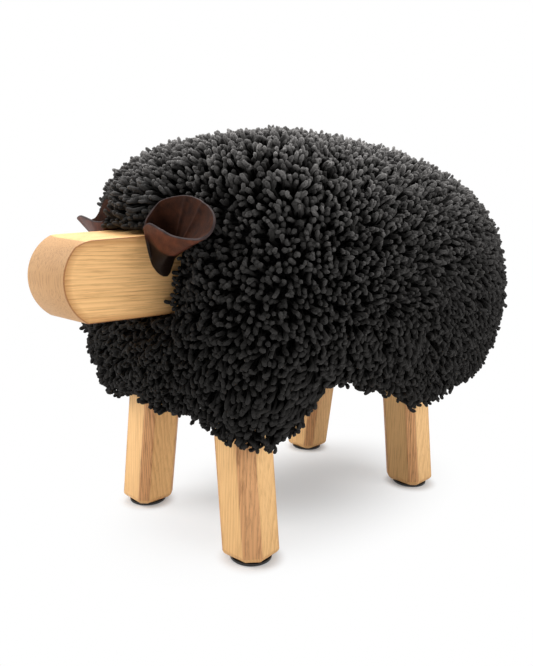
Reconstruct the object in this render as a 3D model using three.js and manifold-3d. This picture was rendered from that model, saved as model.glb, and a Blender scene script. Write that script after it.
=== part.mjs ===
// Animal footstool: a sheep with a timber head and legs, leather ears and a shaggy fleece cover.
// Millimetres, +Z up, z = 0 is the floor. The animal faces -Y and +X is its left side. The pieces are
// built about a line across the body between the feet, then moved along Y so that the origin lies
// under the middle of the whole animal.

import * as THREE from "three";
import { mergeVertices } from "three/addons/utils/BufferGeometryUtils.js";
import Module from "manifold-3d";

const wasm = await Module();
wasm.setup();

// Clearances
const seatGap = 0.3; // between pieces that rest on or wrap one another
const holeGap = 0.4; // round a fastener in its hole
const softGap = 1; // between cloth or foam and the timber that passes through it
const overrun = 6; // how far a cut runs past the face that it starts from

// Legs: planed timber with the four long corners taken off
const legSide = 44;
const legChamfer = 7.5;
const legEnd = 6; // bevel round both ends
const footInset = 77; // from the fleece's widest place in to a foot's centre
const frontFootSetback = 66; // from the chest back to the centres of the front feet
const rearFootSetback = 132; // from the rump forward to the centres of the rear feet
const legSplay = THREE.MathUtils.degToRad(7.1);
const frontLeftTurn = THREE.MathUtils.degToRad(7); // this leg has turned a little on its bolt
const frontLeftChamfer = 11.5; // its outer front corner is taken off more than the others

// Glides: nailed plastic discs that the stool stands on
const glideRadius = 19;
const glideThickness = 3;
const glideNailRadius = 1.4;
const glideNailLength = 14;

// Seat board: plywood, cut to the inside of the upholstery
const boardUnderside = 170;
const boardThickness = 18;

// Leg bolts: coach screws sunk in the board, along each leg's own axis
const boltShankRadius = 4;
const boltLength = 75;
const boltHeadRadius = 7.5;
const boltHeadHeight = 5.3;
const washerRadius = 12;
const washerThickness = 1.6;
const washerSeatDepth = 9.6; // from the board's top to the washer's seat

// Head and the block that it stands on
const headWidth = 62;
const headHeight = 65;
const headLength = 205;
const noseSagitta = 18.6; // how far the rounded nose stands out past its corners
const noseStandout = 82; // from the chest to the tip of the nose
const noseHeight = 251; // of the nose's middle above the floor
const headTilt = THREE.MathUtils.degToRad(1.6); // the nose is a little low
const headTopLevel = 31.8; // of the planed top over the nose's middle, if carried on to the tip
const headTopPitch = THREE.MathUtils.degToRad(2.9); // the top rises towards the ears
const headTopCant = THREE.MathUtils.degToRad(2.9); // and towards the right side
const neckWidth = 56;
const neckDepth = 64;
const neckSetback = 58; // from the chest back to the front of the neck block

// Head screws: countersunk, up through the board and the neck block
const headScrewRadius = 3;
const headScrewHeadRadius = 6.5;
const headScrewLength = 82;
const headScrewSpacing = 32;

// Fleece: a squared oval loaf, measured over the tips of the pile
const fleeceHalfWidth = 160;
const chestReach = 196; // from the middle to the chest
const rumpReach = 262; // from the middle to the rump
const waistHeight = 220; // where the loaf is widest
const crownRise = 169; // from the waist to the top of the back
const bellyDrop = 175; // from the waist to where the flanks would close
const crownFallShare = 0.02; // fall of the back per millimetre towards the rump
const planPower = 4.2; // 2 is an oval, larger is squarer
const crownPower = 2.63;
const bellyPower = 2.3;

// Layers of the upholstery, from the outside in
const pileThickness = 21;
const backingThickness = 1.6;
const waddingThickness = 8;

// The hollow that the head and the ears press into the chest
const hollowHalfWidth = 64;
const hollowHalfHeight = 58;
const hollowDepth = 18;

// Hems. The pile hangs in deep lobes over the legs, with arches between them.
const hemDrop = 64; // how far the longest tips hang below the board's underside
const hemTuck = 22; // how far the flank is drawn in at the highest arch
const pileDroop = 15; // how far the tips hang below the hem of the backing
const marginWidth = 30; // the cover's edge turned in under the board

// The hem at places round the loaf, given by the angle from the chest, as shares of drop and tuck.
// The right side's front lobe hangs less deep than the left side's.
const frontLobeAngle = 37;
const rightFrontLobeShare = 0.85;
const hemShares = [
  { angle: 0, drop: 0.66, tuck: 0 },
  { angle: 16, drop: 0.6, tuck: 0.2 },
  { angle: frontLobeAngle, drop: 1, tuck: 0 },
  { angle: 60, drop: 0.18, tuck: 1 },
  { angle: 71, drop: 0.18, tuck: 0.9 },
  { angle: 80, drop: 0.38, tuck: 0.8 },
  { angle: 93, drop: 0.5, tuck: 0.7 },
  { angle: 122, drop: 0.91, tuck: 0.45 },
  { angle: 142, drop: 0.62, tuck: 0.2 },
  { angle: 180, drop: 0.5, tuck: 0 },
];
const rightHemShares = hemShares.map((place) => (
  place.angle === frontLobeAngle ? { ...place, drop: rightFrontLobeShare } : place
));

// Dust cover and its tacks
const dustCoverThickness = 0.8;
const dustCoverInset = 8; // from the board's edge to the dust cover's edge
const tackInset = 14; // from the board's edge to the tacks
const tackHeadRadius = 4.5;
const tackHeadHeight = 1.2;
const tackPinRadius = 1;
const tackLength = 13;

// Where the tacks down each side stand, as shares of the way from the middle to chest or rump
const sideTackShares = [-0.75, -0.15, 0.38, 0.85];

// Ears: one piece of leather each, curled into a cup and tacked to the side of the head
const earThickness = 2.2;
const earSpan = 75; // sideways, out from the head
const earDepth = 26; // from the front lip to the back wall
const earRise = 67; // from the root to the top of the back rim
const earRootSetback = 8; // from the chest back to the root, where the curl comes to a point
const earRootHeight = 253;
const earRootRadius = 2;
const earNeckRise = 19; // from the root to the narrow neck, where the leather starts to flare
const earTackRadius = 1.1;
const earTackHeadRadius = 3;
const earTackHeadHeight = 1.4;
const earTackLength = 16;
const earTackRise = 22; // from the root to the tack
const earTackSetback = 5; // from the chest back to the tack

// The rim of each ear, once round from the head along the front lip and back along the rear edge,
// as shares of the ear's span, depth and rise measured from its root.
const leftEarRimShares = [
  [0, -0.79, 0.6], [0.13, -0.86, 0.645], [0.33, -0.85, 0.58], [0.52, -0.81, 0.51],
  [0.75, -0.73, 0.48], [0.94, -0.62, 0.485], [1, -0.42, 0.56], [0.98, -0.23, 0.7],
  [0.82, 0, 0.825], [0.58, 0.12, 0.935], [0.3, 0.12, 0.985], [0.03, -0.2, 0.915], [0, -0.62, 0.74],
];
const rightEarRimShares = [
  [0, -0.77, 0.67], [0.2, -0.83, 0.66], [0.38, -0.75, 0.69], [0.6, -0.6, 0.72],
  [0.83, -0.4, 0.735], [0.97, -0.25, 0.7], [0.9, -0.08, 0.66], [0.68, 0.04, 0.7],
  [0.48, -0.02, 0.82], [0.36, -0.04, 0.95], [0.24, 0, 1], [0.08, -0.04, 0.94], [0, -0.4, 0.8],
];

// How far the root and the neck are closed up, as shares of the rim's span and depth
const earRootShares = new THREE.Vector3(0.05, 0.3, 0);
const earNeckShares = new THREE.Vector3(0.12, 1.1, 0);

// How finely round and soft shapes are faceted
const outlineSteps = 36;
const crownRows = 7;
const roundSteps = 12;
const noseSteps = 14;
const earRows = 7;
const earSteps = 22;

// Levels and places worked out from the sizes above
const legHeight = boardUnderside - seatGap - glideThickness - seatGap;
const boardTop = boardUnderside + boardThickness;
const marginTop = boardUnderside - seatGap;
const marginBottom = marginTop - backingThickness;
const dustCoverTop = marginBottom - seatGap;
const dustCoverBottom = dustCoverTop - dustCoverThickness;
const backingDepth = pileThickness + seatGap;
const waddingDepth = backingDepth + backingThickness + seatGap;
const foamDepth = waddingDepth + waddingThickness + seatGap;
const footX = fleeceHalfWidth - footInset;
const frontFootY = frontFootSetback - chestReach;
const rearFootY = rumpReach - rearFootSetback;
const noseReach = chestReach + noseStandout;
const headHalfWidth = headWidth / 2;
const earRootY = earRootSetback - chestReach;
const earTackY = earTackSetback - chestReach;
const neckFrontY = neckSetback - chestReach;

// Materials
const oak = material(0xe8bd86, 0.5, 0);
const plywood = material(0xd9b98a, 0.7, 0);
const steel = material(0xa9abad, 0.35, 1);
const brass = material(0xb08d4a, 0.4, 1);
const blackPlastic = material(0x1b1b1c, 0.5, 0);
const upholsteryFoam = material(0xd8cfae, 0.95, 0);
const waddingFibre = material(0xe9e7e1, 1, 0);
const backingCloth = material(0x202021, 0.95, 0);
const blackFleece = material(0x2b2a2a, 1, 0);
const dustCloth = material(0x161617, 0.95, 0);
const brownLeather = material(0x53352a, 0.55, 0);

/** A plain surface finish. */
function material(color, roughness, metalness) {
  return { color, roughness, metalness };
}

/** A named mesh from a geometry or a solid, with a material of its own. */
function mesh(name, shape, finish) {
  const geometry = shape.getMesh ? geometryOf(shape) : shape;
  const part = new THREE.Mesh(geometry, new THREE.MeshStandardMaterial(finish));
  part.name = name;
  return part;
}

/** A closed geometry as a solid that can be joined and cut. */
function solidOf(geometry) {
  const bare = geometry.clone();
  bare.deleteAttribute("normal");
  bare.deleteAttribute("uv");
  const merged = mergeVertices(bare);
  return new wasm.Manifold(new wasm.Mesh({
    numProp: 3,
    vertProperties: Float32Array.from(merged.attributes.position.array),
    triVerts: Uint32Array.from(merged.index.array),
  }));
}

/** A solid as a geometry. */
function geometryOf(solid) {
  const { numProp, vertProperties, triVerts } = solid.getMesh();
  const places = [];
  for (let at = 0; at < vertProperties.length; at += numProp) {
    places.push(vertProperties[at], vertProperties[at + 1], vertProperties[at + 2]);
  }
  const geometry = new THREE.BufferGeometry();
  geometry.setAttribute("position", new THREE.Float32BufferAttribute(places, 3));
  geometry.setIndex(Array.from(triVerts));
  return geometry;
}

/** The first shape with all the others cut away. */
function cut(shape, ...tools) {
  return tools.reduce((left, tool) => left.subtract(solidOf(tool)), shape.getMesh ? shape : solidOf(shape));
}

/** A number raised to a power, with its sign kept. */
function signedPower(value, power) {
  return Math.sign(value) * Math.abs(value) ** power;
}

/**
 * A closed skin over rings of points, each counter-clockwise about the way that the rings advance.
 * A ring of one point is a pole. With ringClosed the last ring is also joined to the first. Each
 * face is split along the same diagonal whether its rings rise or fall, so that nested skins nest.
 */
function skin(rings, ringClosed = false) {
  const places = rings.flat().flatMap((point) => [point.x, point.y, point.z]);
  const starts = [];
  rings.reduce((count, ring) => {
    starts.push(count);
    return count + ring.length;
  }, 0);
  const faces = [];
  const bands = ringClosed ? rings.length : rings.length - 1;
  for (let band = 0; band < bands; band += 1) {
    const next = (band + 1) % rings.length;
    const steps = Math.max(rings[band].length, rings[next].length);
    for (let step = 0; step < steps && steps > 1; step += 1) {
      const after = (step + 1) % steps;
      const near = (at) => starts[band] + (rings[band].length > 1 ? at : 0);
      const far = (at) => starts[next] + (rings[next].length > 1 ? at : 0);
      const falls = rings[next][0].z < rings[band][0].z;
      if (rings[band].length > 1) faces.push(near(step), near(after), far(falls ? step : after));
      if (rings[next].length > 1) faces.push(near(falls ? after : step), far(after), far(step));
    }
  }
  const geometry = new THREE.BufferGeometry();
  geometry.setAttribute("position", new THREE.Float32BufferAttribute(places, 3));
  geometry.setIndex(faces);
  return geometry;
}

/** A turned solid about Z from its half profile, whose first and last points lie on the axis. */
function turned(profile, steps = roundSteps) {
  return new THREE.LatheGeometry(profile.map(([radius, z]) => new THREE.Vector2(radius, z)), steps)
    .rotateX(Math.PI / 2);
}

/** An upright disc or bar between two levels. */
function upright(radius, bottom, top, steps = roundSteps) {
  return new THREE.CylinderGeometry(radius, radius, top - bottom, steps)
    .rotateX(Math.PI / 2)
    .translate(0, 0, (top + bottom) / 2);
}

/** A flat sheet or slab between two levels, from the points of its outline. */
function slab(outline, bottom, top) {
  const shape = new THREE.Shape(outline.map((point) => new THREE.Vector2(point.x, point.y)));
  return new THREE.ExtrudeGeometry(shape, { depth: top - bottom, bevelEnabled: false })
    .translate(0, 0, bottom);
}

/** A side profile in the Y-Z plane, given width across X. */
function acrossX(shape, width) {
  const turn = new THREE.Matrix4().makeBasis(
    new THREE.Vector3(0, 1, 0),
    new THREE.Vector3(0, 0, 1),
    new THREE.Vector3(1, 0, 0),
  );
  return new THREE.ExtrudeGeometry(shape, { depth: width, bevelEnabled: false, curveSegments: noseSteps })
    .translate(0, 0, -width / 2)
    .applyMatrix4(turn);
}

/** The legs' names, sides, turns about their own axes and chamfers at the +X, -Y corner. */
function legPlaces() {
  return [
    { place: "front_left", side: 1, footY: frontFootY, turn: frontLeftTurn, chamfer: frontLeftChamfer },
    { place: "front_right", side: -1, footY: frontFootY, turn: 0, chamfer: legChamfer },
    { place: "rear_left", side: 1, footY: rearFootY, turn: 0, chamfer: legChamfer },
    { place: "rear_right", side: -1, footY: rearFootY, turn: 0, chamfer: legChamfer },
  ];
}

/** Moves a shape made upright on the floor's origin onto a leg's leaning axis, keeping it level. */
function leanOnto(leg, geometry) {
  const lean = new THREE.Matrix4().makeShear(0, 0, 0, 0, -leg.side * Math.tan(legSplay), 0);
  return geometry.applyMatrix4(lean).translate(leg.side * footX, leg.footY, 0);
}

/** A leg's square section with its corners taken off, grown all round by a clearance. */
function legSection(leg, grow) {
  const half = legSide / 2 + grow;
  const reach = legSide / 2 + grow * (Math.SQRT2 - 1);
  const flat = reach - legChamfer;
  const front = reach - leg.chamfer;
  const corners = [
    [half, flat], [flat, half], [-flat, half], [-half, flat],
    [-half, -flat], [-flat, -half], [front, -half], [half, -front],
  ];
  return corners.map(([x, y]) => new THREE.Vector2(x, y).rotateAround(new THREE.Vector2(), leg.turn));
}

/** A leg's prism between two levels, grown by a clearance: the space that cloth leaves round it. */
function legSpace(leg, grow, bottom, top) {
  return leanOnto(leg, slab(legSection(leg, grow), bottom, top));
}

/** One leg, cut level at both ends with bevelled edges, and drilled for its bolt and its glide. */
function legPiece(leg) {
  const shape = new THREE.Shape(legSection(leg, -legEnd));
  const bottom = glideThickness + seatGap;
  const prism = new THREE.ExtrudeGeometry(shape, {
    depth: legHeight - 2 * legEnd,
    bevelSize: legEnd,
    bevelThickness: legEnd,
    bevelSegments: 2,
  }).translate(0, 0, bottom + legEnd);
  const nailHole = upright(glideNailRadius + holeGap, 0, glideThickness + glideNailLength + holeGap);
  nailHole.translate(leg.side * glideX(), leg.footY, 0);
  return cut(leanOnto(leg, prism), boltBore(leg), nailHole);
}

/** How far out sideways the middle of a foot's underside lies. */
function glideX() {
  return footX - Math.tan(legSplay) * glideThickness;
}

/** A glide: a disc under the foot with its nail up the middle. */
function glidePiece(leg) {
  const edge = glideThickness / 3;
  return turned([
    [0, 0],
    [glideRadius - edge, 0],
    [glideRadius, edge],
    [glideRadius, glideThickness],
    [glideNailRadius, glideThickness],
    [glideNailRadius, glideThickness + glideNailLength - 2 * glideNailRadius],
    [0, glideThickness + glideNailLength],
  ]).translate(leg.side * glideX(), leg.footY, 0);
}

/** Places a shape made about Z, with z = 0 at the washer's seat, on a leg's axis in the board. */
function sinkInBoard(leg, geometry) {
  const seatLevel = boardTop - washerSeatDepth;
  const halfTrack = footX - Math.tan(legSplay) * seatLevel;
  return geometry
    .rotateY(-leg.side * legSplay)
    .translate(leg.side * halfTrack, leg.footY, seatLevel);
}

/** The hole for a leg's bolt, down through the board and into the leg. */
function boltBore(leg) {
  return sinkInBoard(leg, upright(boltShankRadius + holeGap, -boltLength - 2 * holeGap, overrun));
}

/** The flat-bottomed hole in the board that hides a bolt's head and washer. */
function boltPocket(leg) {
  return sinkInBoard(leg, upright(washerRadius + softGap, 0, washerSeatDepth + overrun, 2 * roundSteps));
}

/** A coach screw: a hexagon head on a round shank with a pointed end. */
function boltPiece(leg) {
  const headBottom = washerThickness + 2 * seatGap;
  const shank = turned([
    [0, -boltLength],
    [boltShankRadius, -boltLength + 2 * boltShankRadius],
    [boltShankRadius, headBottom + boltHeadHeight / 2],
    [0, headBottom + boltHeadHeight / 2],
  ]);
  const head = upright(boltHeadRadius, headBottom, headBottom + boltHeadHeight, 6);
  return solidOf(sinkInBoard(leg, shank)).add(solidOf(sinkInBoard(leg, head)));
}

/** A washer under a bolt's head. */
function washerPiece(leg) {
  const bore = boltShankRadius + holeGap;
  const top = seatGap + washerThickness;
  const ring = new THREE.LatheGeometry([
    new THREE.Vector2(bore, seatGap),
    new THREE.Vector2(washerRadius, seatGap),
    new THREE.Vector2(washerRadius, top),
    new THREE.Vector2(bore, top),
    new THREE.Vector2(bore, seatGap),
  ], roundSteps).rotateX(Math.PI / 2);
  return sinkInBoard(leg, ring);
}

/** The head's block, grown by a clearance: rounded nose to the front, top planed at a slope. */
function headBlock(grow) {
  const halfHeight = headHeight / 2;
  const radius = (halfHeight ** 2 + noseSagitta ** 2) / (2 * noseSagitta);
  const corner = Math.asin(halfHeight / radius);
  const profile = new THREE.Shape();
  profile.moveTo(headLength + grow, -halfHeight - grow);
  profile.lineTo(headLength + grow, headHeight);
  profile.absarc(radius, 0, radius + grow, Math.PI / 2, Math.PI + corner, false);
  profile.closePath();
  const waste = new THREE.BoxGeometry(headLength, 3 * headLength, headHeight)
    .translate(0, 0, headHeight / 2 + grow)
    .rotateY(headTopCant)
    .rotateX(headTopPitch)
    .translate(0, 0, headTopLevel);
  return geometryOf(cut(acrossX(profile, headWidth + 2 * grow), waste))
    .rotateX(headTilt)
    .translate(0, -noseReach, noseHeight);
}

/** The level of the head's underside at a place along Y. */
function headUnderside(y) {
  const along = y + noseReach;
  return noseHeight - headHeight / 2 / Math.cos(headTilt) + Math.tan(headTilt) * along;
}

/** The neck block, grown by a clearance: its top is cut to the slope of the head. */
function neckBlock(grow, bottom = boardTop + seatGap) {
  const front = neckFrontY - grow;
  const back = neckFrontY + neckDepth + grow;
  const profile = new THREE.Shape([
    new THREE.Vector2(front, bottom),
    new THREE.Vector2(back, bottom),
    new THREE.Vector2(back, headUnderside(back) - seatGap),
    new THREE.Vector2(front, headUnderside(front) - seatGap),
  ]);
  return acrossX(profile, neckWidth + 2 * grow);
}

/** A countersunk head screw, or with a clearance the hole that it goes in. */
function headScrew(index, grow) {
  const sunk = boardUnderside + seatGap;
  const cone = headScrewHeadRadius - headScrewRadius;
  const tip = 2 * headScrewRadius;
  const mouth = grow > 0 ? overrun : 0;
  return turned([
    [0, sunk - mouth],
    [headScrewHeadRadius + grow, sunk - mouth],
    [headScrewHeadRadius + grow, sunk + grow],
    [headScrewRadius + grow, sunk + cone + grow],
    [headScrewRadius + grow, sunk + headScrewLength - tip],
    [0, sunk + headScrewLength + grow],
  ]).translate(0, neckFrontY + neckDepth / 2 + (index - 0.5) * headScrewSpacing, 0);
}

/** How full the loaf is at a level, as a share of its width at the waist. */
function fullnessAt(z) {
  const below = Math.max(0, waistHeight - z) / bellyDrop;
  return (1 - below ** bellyPower) ** (1 / bellyPower);
}

/** The loaf's plan at the waist, once round from the chest by way of the left flank. */
class LoafPlan extends THREE.Curve {
  getPoint(t) {
    const turn = 2 * Math.PI * t;
    const across = signedPower(Math.sin(turn), 2 / planPower);
    const along = signedPower(-Math.cos(turn), 2 / planPower);
    return new THREE.Vector3(across * fleeceHalfWidth, along * (along < 0 ? chestReach : rumpReach), 0);
  }
}

/** A direction from the middle of the loaf, by its shares of the half width and of the reach. */
function planDirection(across, along) {
  const reach = along < 0 ? chestReach : rumpReach;
  const bearing = Math.atan2(across * fleeceHalfWidth, -along * reach);
  return { across, along, reach, angle: Math.abs(THREE.MathUtils.radToDeg(bearing)) };
}

/** Evenly spaced directions round the loaf. */
const directions = new LoafPlan().getSpacedPoints(outlineSteps).slice(0, -1).map((point) => (
  planDirection(point.x / fleeceHalfWidth, point.y / (point.y < 0 ? chestReach : rumpReach))
));

/** The hem's share of the drop or the tuck in a direction, eased between the places on either side. */
function hemShareAt(direction, what) {
  const places = direction.across < 0 ? rightHemShares : hemShares;
  const next = Math.max(1, places.findIndex((place) => place.angle >= direction.angle));
  const from = places[next - 1];
  const to = places[next];
  const share = THREE.MathUtils.smoothstep(direction.angle, from.angle, to.angle);
  return THREE.MathUtils.lerp(from[what], to[what], share);
}

/** The level that the pile's tips hang to in a direction. */
function hemLevel(direction) {
  return boardUnderside - hemDrop * hemShareAt(direction, "drop");
}

/** A point of the loaf's flank in a direction, at a level and a depth under the pile's tips. */
function flankPoint(direction, z, depth) {
  const full = fullnessAt(z);
  const below = Math.max(0, (waistHeight - z) / (waistHeight - hemLevel(direction)));
  const inward = depth + hemTuck * hemShareAt(direction, "tuck") * below ** 2;
  return new THREE.Vector3(
    direction.across * (fleeceHalfWidth * full - inward),
    direction.along * (direction.reach * full - inward),
    z,
  );
}

/** A point of the loaf's upper half at a steepness from 0, the waist, to 1, the crown. */
function crownPoint(direction, steepness, depth) {
  const turn = (steepness * Math.PI) / 2;
  const inward = Math.cos(turn) ** (2 / crownPower);
  const upward = Math.sin(turn) ** (2 / crownPower);
  const y = direction.along * (direction.reach - depth) * inward;
  return new THREE.Vector3(
    direction.across * (fleeceHalfWidth - depth) * inward,
    y,
    waistHeight + upward * (crownRise - depth - crownFallShare * y),
  );
}

/** The levels in one direction of the flank that every layer shares, lowest first. */
function flankLevels(direction) {
  const pileHem = hemLevel(direction);
  const backingHem = Math.min(marginBottom, pileHem + pileDroop);
  const halfway = (backingHem + boardUnderside) / 2;
  return { pileHem, backingHem, halfway, waddingHem: boardUnderside, foamBase: boardTop + seatGap };
}

/** Rings from a layer's lowest level up to the crown's pole, at one depth under the pile's tips. */
function loafRings(depth, lowest) {
  const levels = Object.keys(flankLevels(directions[0]));
  const rings = levels.slice(levels.indexOf(lowest)).map((level) => (
    directions.map((direction) => flankPoint(direction, flankLevels(direction)[level], depth))
  ));
  for (let row = 0; row < crownRows; row += 1) {
    rings.push(directions.map((direction) => crownPoint(direction, row / crownRows, depth)));
  }
  rings.push([crownPoint({ across: 0, along: 0, reach: 0 }, 1, depth)]);
  return rings;
}

/** A layer of the upholstery, open below: its outer skin, then its inner skin from the crown down. */
function loafShell(depth, thickness, lowest) {
  const inner = loafRings(depth + thickness, lowest).reverse();
  return skin([...loafRings(depth, lowest), ...inner], true);
}

/** The board's outline, drawn in by an inset: it just fits inside the wadding. */
function boardOutline(inset) {
  return directions.map((direction) => flankPoint(direction, boardUnderside, foamDepth + inset));
}

/** The foam: flat on the board, domed above, hollowed for the neck and the head. */
function foamPiece() {
  const base = new THREE.Vector3(0, 0, boardTop + seatGap);
  const dome = skin([[base], ...loafRings(foamDepth, "foamBase")]);
  return cut(dome, neckBlock(softGap, boardTop - overrun), headBlock(softGap));
}

/** The wadding that wraps the foam and the edge of the board. */
function waddingPiece() {
  return cut(loafShell(waddingDepth, waddingThickness, "waddingHem"), headBlock(softGap));
}

/** The cover's backing: a shell with lobes over the legs, and a margin turned in under the board. */
function backingPiece() {
  const shell = loafShell(backingDepth, backingThickness, "backingHem");
  const edge = slab(boardOutline(waddingDepth - 2 * seatGap - foamDepth), marginBottom, marginTop);
  const opening = slab(boardOutline(marginWidth), marginBottom - overrun, marginTop + overrun);
  const margin = cut(edge, opening);
  return cut(solidOf(shell).add(margin), headBlock(softGap), ...legSpaces(), ...tackHoles());
}

/** The fleece's pile as one shaggy mass outside the backing, with room for the head, ears and legs. */
function pilePiece(ears) {
  const shell = loafShell(0, pileThickness, "pileHem");
  const hollow = new THREE.SphereGeometry(1, roundSteps, roundSteps)
    .scale(hollowHalfWidth, hollowDepth, hollowHalfHeight)
    .translate(0, -chestReach, noseHeight);
  const earSpaces = ears.map((ear) => earBlank(ear, softGap, 1));
  return cut(shell, headBlock(softGap), hollow, ...legSpaces(), ...earSpaces);
}

/** The spaces that the cloth pieces leave round the legs. */
function legSpaces() {
  return legPlaces().map((leg) => legSpace(leg, softGap, -overrun, boardUnderside - seatGap));
}

/** The seat board, with the bolts' pockets and every fastener's hole. */
function boardPiece() {
  const board = slab(boardOutline(0), boardUnderside, boardTop);
  const pockets = legPlaces().map(boltPocket);
  const bores = legPlaces().map(boltBore);
  return cut(board, ...pockets, ...bores, ...screwHoles(), ...tackHoles());
}

/** The holes of both head screws. */
function screwHoles() {
  return [headScrew(0, holeGap), headScrew(1, holeGap)];
}

/** The dust cover under the board, cut round the legs. */
function dustCoverPiece() {
  const sheet = slab(boardOutline(dustCoverInset), dustCoverBottom, dustCoverTop);
  return cut(sheet, ...legSpaces(), ...tackHoles());
}

/** The tacks' places on a line inside the board's edge: down both sides, and one at each end. */
function tackPlaces() {
  const sides = sideTackShares.flatMap((along) => {
    const across = (1 - Math.abs(along) ** planPower) ** (1 / planPower);
    return [{ across, along }, { across: -across, along }];
  });
  return [{ across: 0, along: -1 }, { across: 0, along: 1 }, ...sides].map(({ across, along }) => (
    flankPoint(planDirection(across, along), boardUnderside, foamDepth + tackInset)
  ));
}

/** A round-headed tack driven up through the dust cover and the margin, or the hole for it. */
function tackShape(place, grow) {
  const seat = dustCoverBottom - seatGap;
  const head = grow > 0 ? [] : [
    [0, seat - tackHeadHeight],
    [tackHeadRadius * Math.SQRT1_2, seat - tackHeadHeight * Math.SQRT1_2],
    [tackHeadRadius, seat],
  ];
  const start = grow > 0 ? [[0, seat - overrun], [tackPinRadius + grow, seat - overrun]] : head;
  const top = seat + tackLength;
  return turned([
    ...start,
    [tackPinRadius + grow, seat],
    [tackPinRadius + grow, top - 2 * tackPinRadius],
    [0, top + grow],
  ], roundSteps / 2).translate(place.x, place.y, 0);
}

/** The holes of all the tacks under the board. */
function tackHoles() {
  return tackPlaces().map((place) => tackShape(place, holeGap));
}

/** A ring of an ear, from its rim's shares drawn in towards the root's line and grown sideways. */
function earRing(ear, share) {
  const rim = new THREE.CatmullRomCurve3(ear.rimShares.map(([out, back, up]) => (
    new THREE.Vector3(headHalfWidth + out * earSpan, earRootY + back * earDepth, earRootHeight + up * earRise)
  )), true).getSpacedPoints(earSteps).slice(0, -1);
  const centre = rim.reduce((sum, point) => sum.add(point), new THREE.Vector3()).divideScalar(rim.length);
  const root = new THREE.Vector3(headHalfWidth + earRootRadius, earRootY, earRootHeight);
  const neck = root.clone().add(new THREE.Vector3(earRootRadius, -earRootRadius, earNeckRise));
  return rim.map((point) => {
    const out = point.clone().sub(centre).setZ(0);
    const low = root.clone().add(out.clone().multiply(earRootShares));
    const middle = neck.clone().add(out.clone().multiply(earNeckShares));
    return new THREE.QuadraticBezierCurve3(low, middle, point).getPoint(share);
  });
}

/** An ear's closed outer form, with its skin moved out by a distance and carried past the rim. */
function earBlank(ear, grow, reach) {
  const rings = [];
  for (let row = 0; row <= earRows; row += 1) {
    rings.push(earRing(ear, (reach * row) / earRows));
  }
  const moved = rings.map((ring, row) => ring.map((point, step) => {
    const around = ring[(step + 1) % ring.length].clone().sub(ring.at(step - 1));
    const along = rings[Math.min(row + 1, earRows)][step].clone().sub(rings[Math.max(row - 1, 0)][step]);
    return point.clone().addScaledVector(around.cross(along).normalize(), grow);
  }));
  const middle = (ring) => ring.reduce((sum, point) => sum.add(point), new THREE.Vector3())
    .divideScalar(ring.length);
  const root = middle(moved[0]);
  root.z -= grow;
  const blank = [[root], ...moved, [middle(moved[earRows])]];
  if (ear.side > 0) return skin(blank);
  return skin(blank.map((ring) => ring.map(({ x, y, z }) => new THREE.Vector3(-x, y, z)).reverse()));
}

/** One ear: a curled wall of leather, pressed flat against the side of the head and tacked to it. */
function earPiece(ear) {
  const inside = earBlank(ear, -earThickness, 1 + earThickness / earRise);
  return cut(earBlank(ear, 0, 1), inside, headBlock(seatGap), earTack(ear, holeGap));
}

/** The tack that holds an ear, or the hole for it. */
function earTack(ear, grow) {
  const seat = headHalfWidth + seatGap + earThickness + seatGap;
  const tip = seat - earTackLength;
  const pin = [
    [0, tip - grow],
    [earTackRadius + grow, tip + 2 * earTackRadius],
    [earTackRadius + grow, seat - grow],
    [earTackHeadRadius + grow, seat - grow],
  ];
  const dome = [
    [earTackHeadRadius * Math.SQRT1_2, seat + earTackHeadHeight * Math.SQRT1_2],
    [0, seat + earTackHeadHeight],
  ];
  const recess = [
    [earTackHeadRadius + grow, seat + earTackHeadHeight + grow],
    [0, seat + earTackHeadHeight + grow],
  ];
  return turned([...pin, ...(grow > 0 ? recess : dome)], roundSteps / 2)
    .rotateY((ear.side * Math.PI) / 2)
    .translate(0, earTackY, earRootHeight + earTackRise);
}

/** Everything at its place. */
function buildStool() {
  const stool = new THREE.Group();
  const ears = [
    { place: "left", side: 1, rimShares: leftEarRimShares },
    { place: "right", side: -1, rimShares: rightEarRimShares },
  ];

  stool.add(mesh("seat_board", boardPiece(), plywood));
  for (const leg of legPlaces()) {
    stool.add(mesh(`leg_${leg.place}`, legPiece(leg), oak));
    stool.add(mesh(`leg_bolt_${leg.place}`, boltPiece(leg), steel));
    stool.add(mesh(`leg_washer_${leg.place}`, washerPiece(leg), steel));
    stool.add(mesh(`glide_${leg.place}`, glidePiece(leg), blackPlastic));
  }

  stool.add(mesh("neck_block", cut(neckBlock(0), ...screwHoles()), oak));
  const earTackHoles = ears.map((ear) => earTack(ear, holeGap));
  stool.add(mesh("head", cut(headBlock(0), ...screwHoles(), ...earTackHoles), oak));
  stool.add(mesh("head_screw_front", headScrew(0, 0), steel));
  stool.add(mesh("head_screw_rear", headScrew(1, 0), steel));

  stool.add(mesh("foam_core", foamPiece(), upholsteryFoam));
  stool.add(mesh("wadding", waddingPiece(), waddingFibre));
  stool.add(mesh("cover_backing", backingPiece(), backingCloth));
  stool.add(mesh("fleece_pile", pilePiece(ears), blackFleece));
  stool.add(mesh("dust_cover", dustCoverPiece(), dustCloth));
  tackPlaces().forEach((place, index) => {
    stool.add(mesh(`cover_tack_${index + 1}`, tackShape(place, 0), steel));
  });

  for (const ear of ears) {
    stool.add(mesh(`ear_${ear.place}`, earPiece(ear), brownLeather));
    stool.add(mesh(`ear_tack_${ear.place}`, earTack(ear, 0), brass));
  }

  stool.position.y = (noseReach - rumpReach) / 2;
  return stool;
}

export default buildStool();
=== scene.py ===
"""Looks of the animal footstool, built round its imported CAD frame.

Metres, in the CAD part's frame: +Z up, z = 0 is the floor, the animal faces -Y and +X is its left side.
"""

import logging
import math
from collections.abc import Sequence
from dataclasses import dataclass, field, replace
from enum import Enum
from typing import Any

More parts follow.
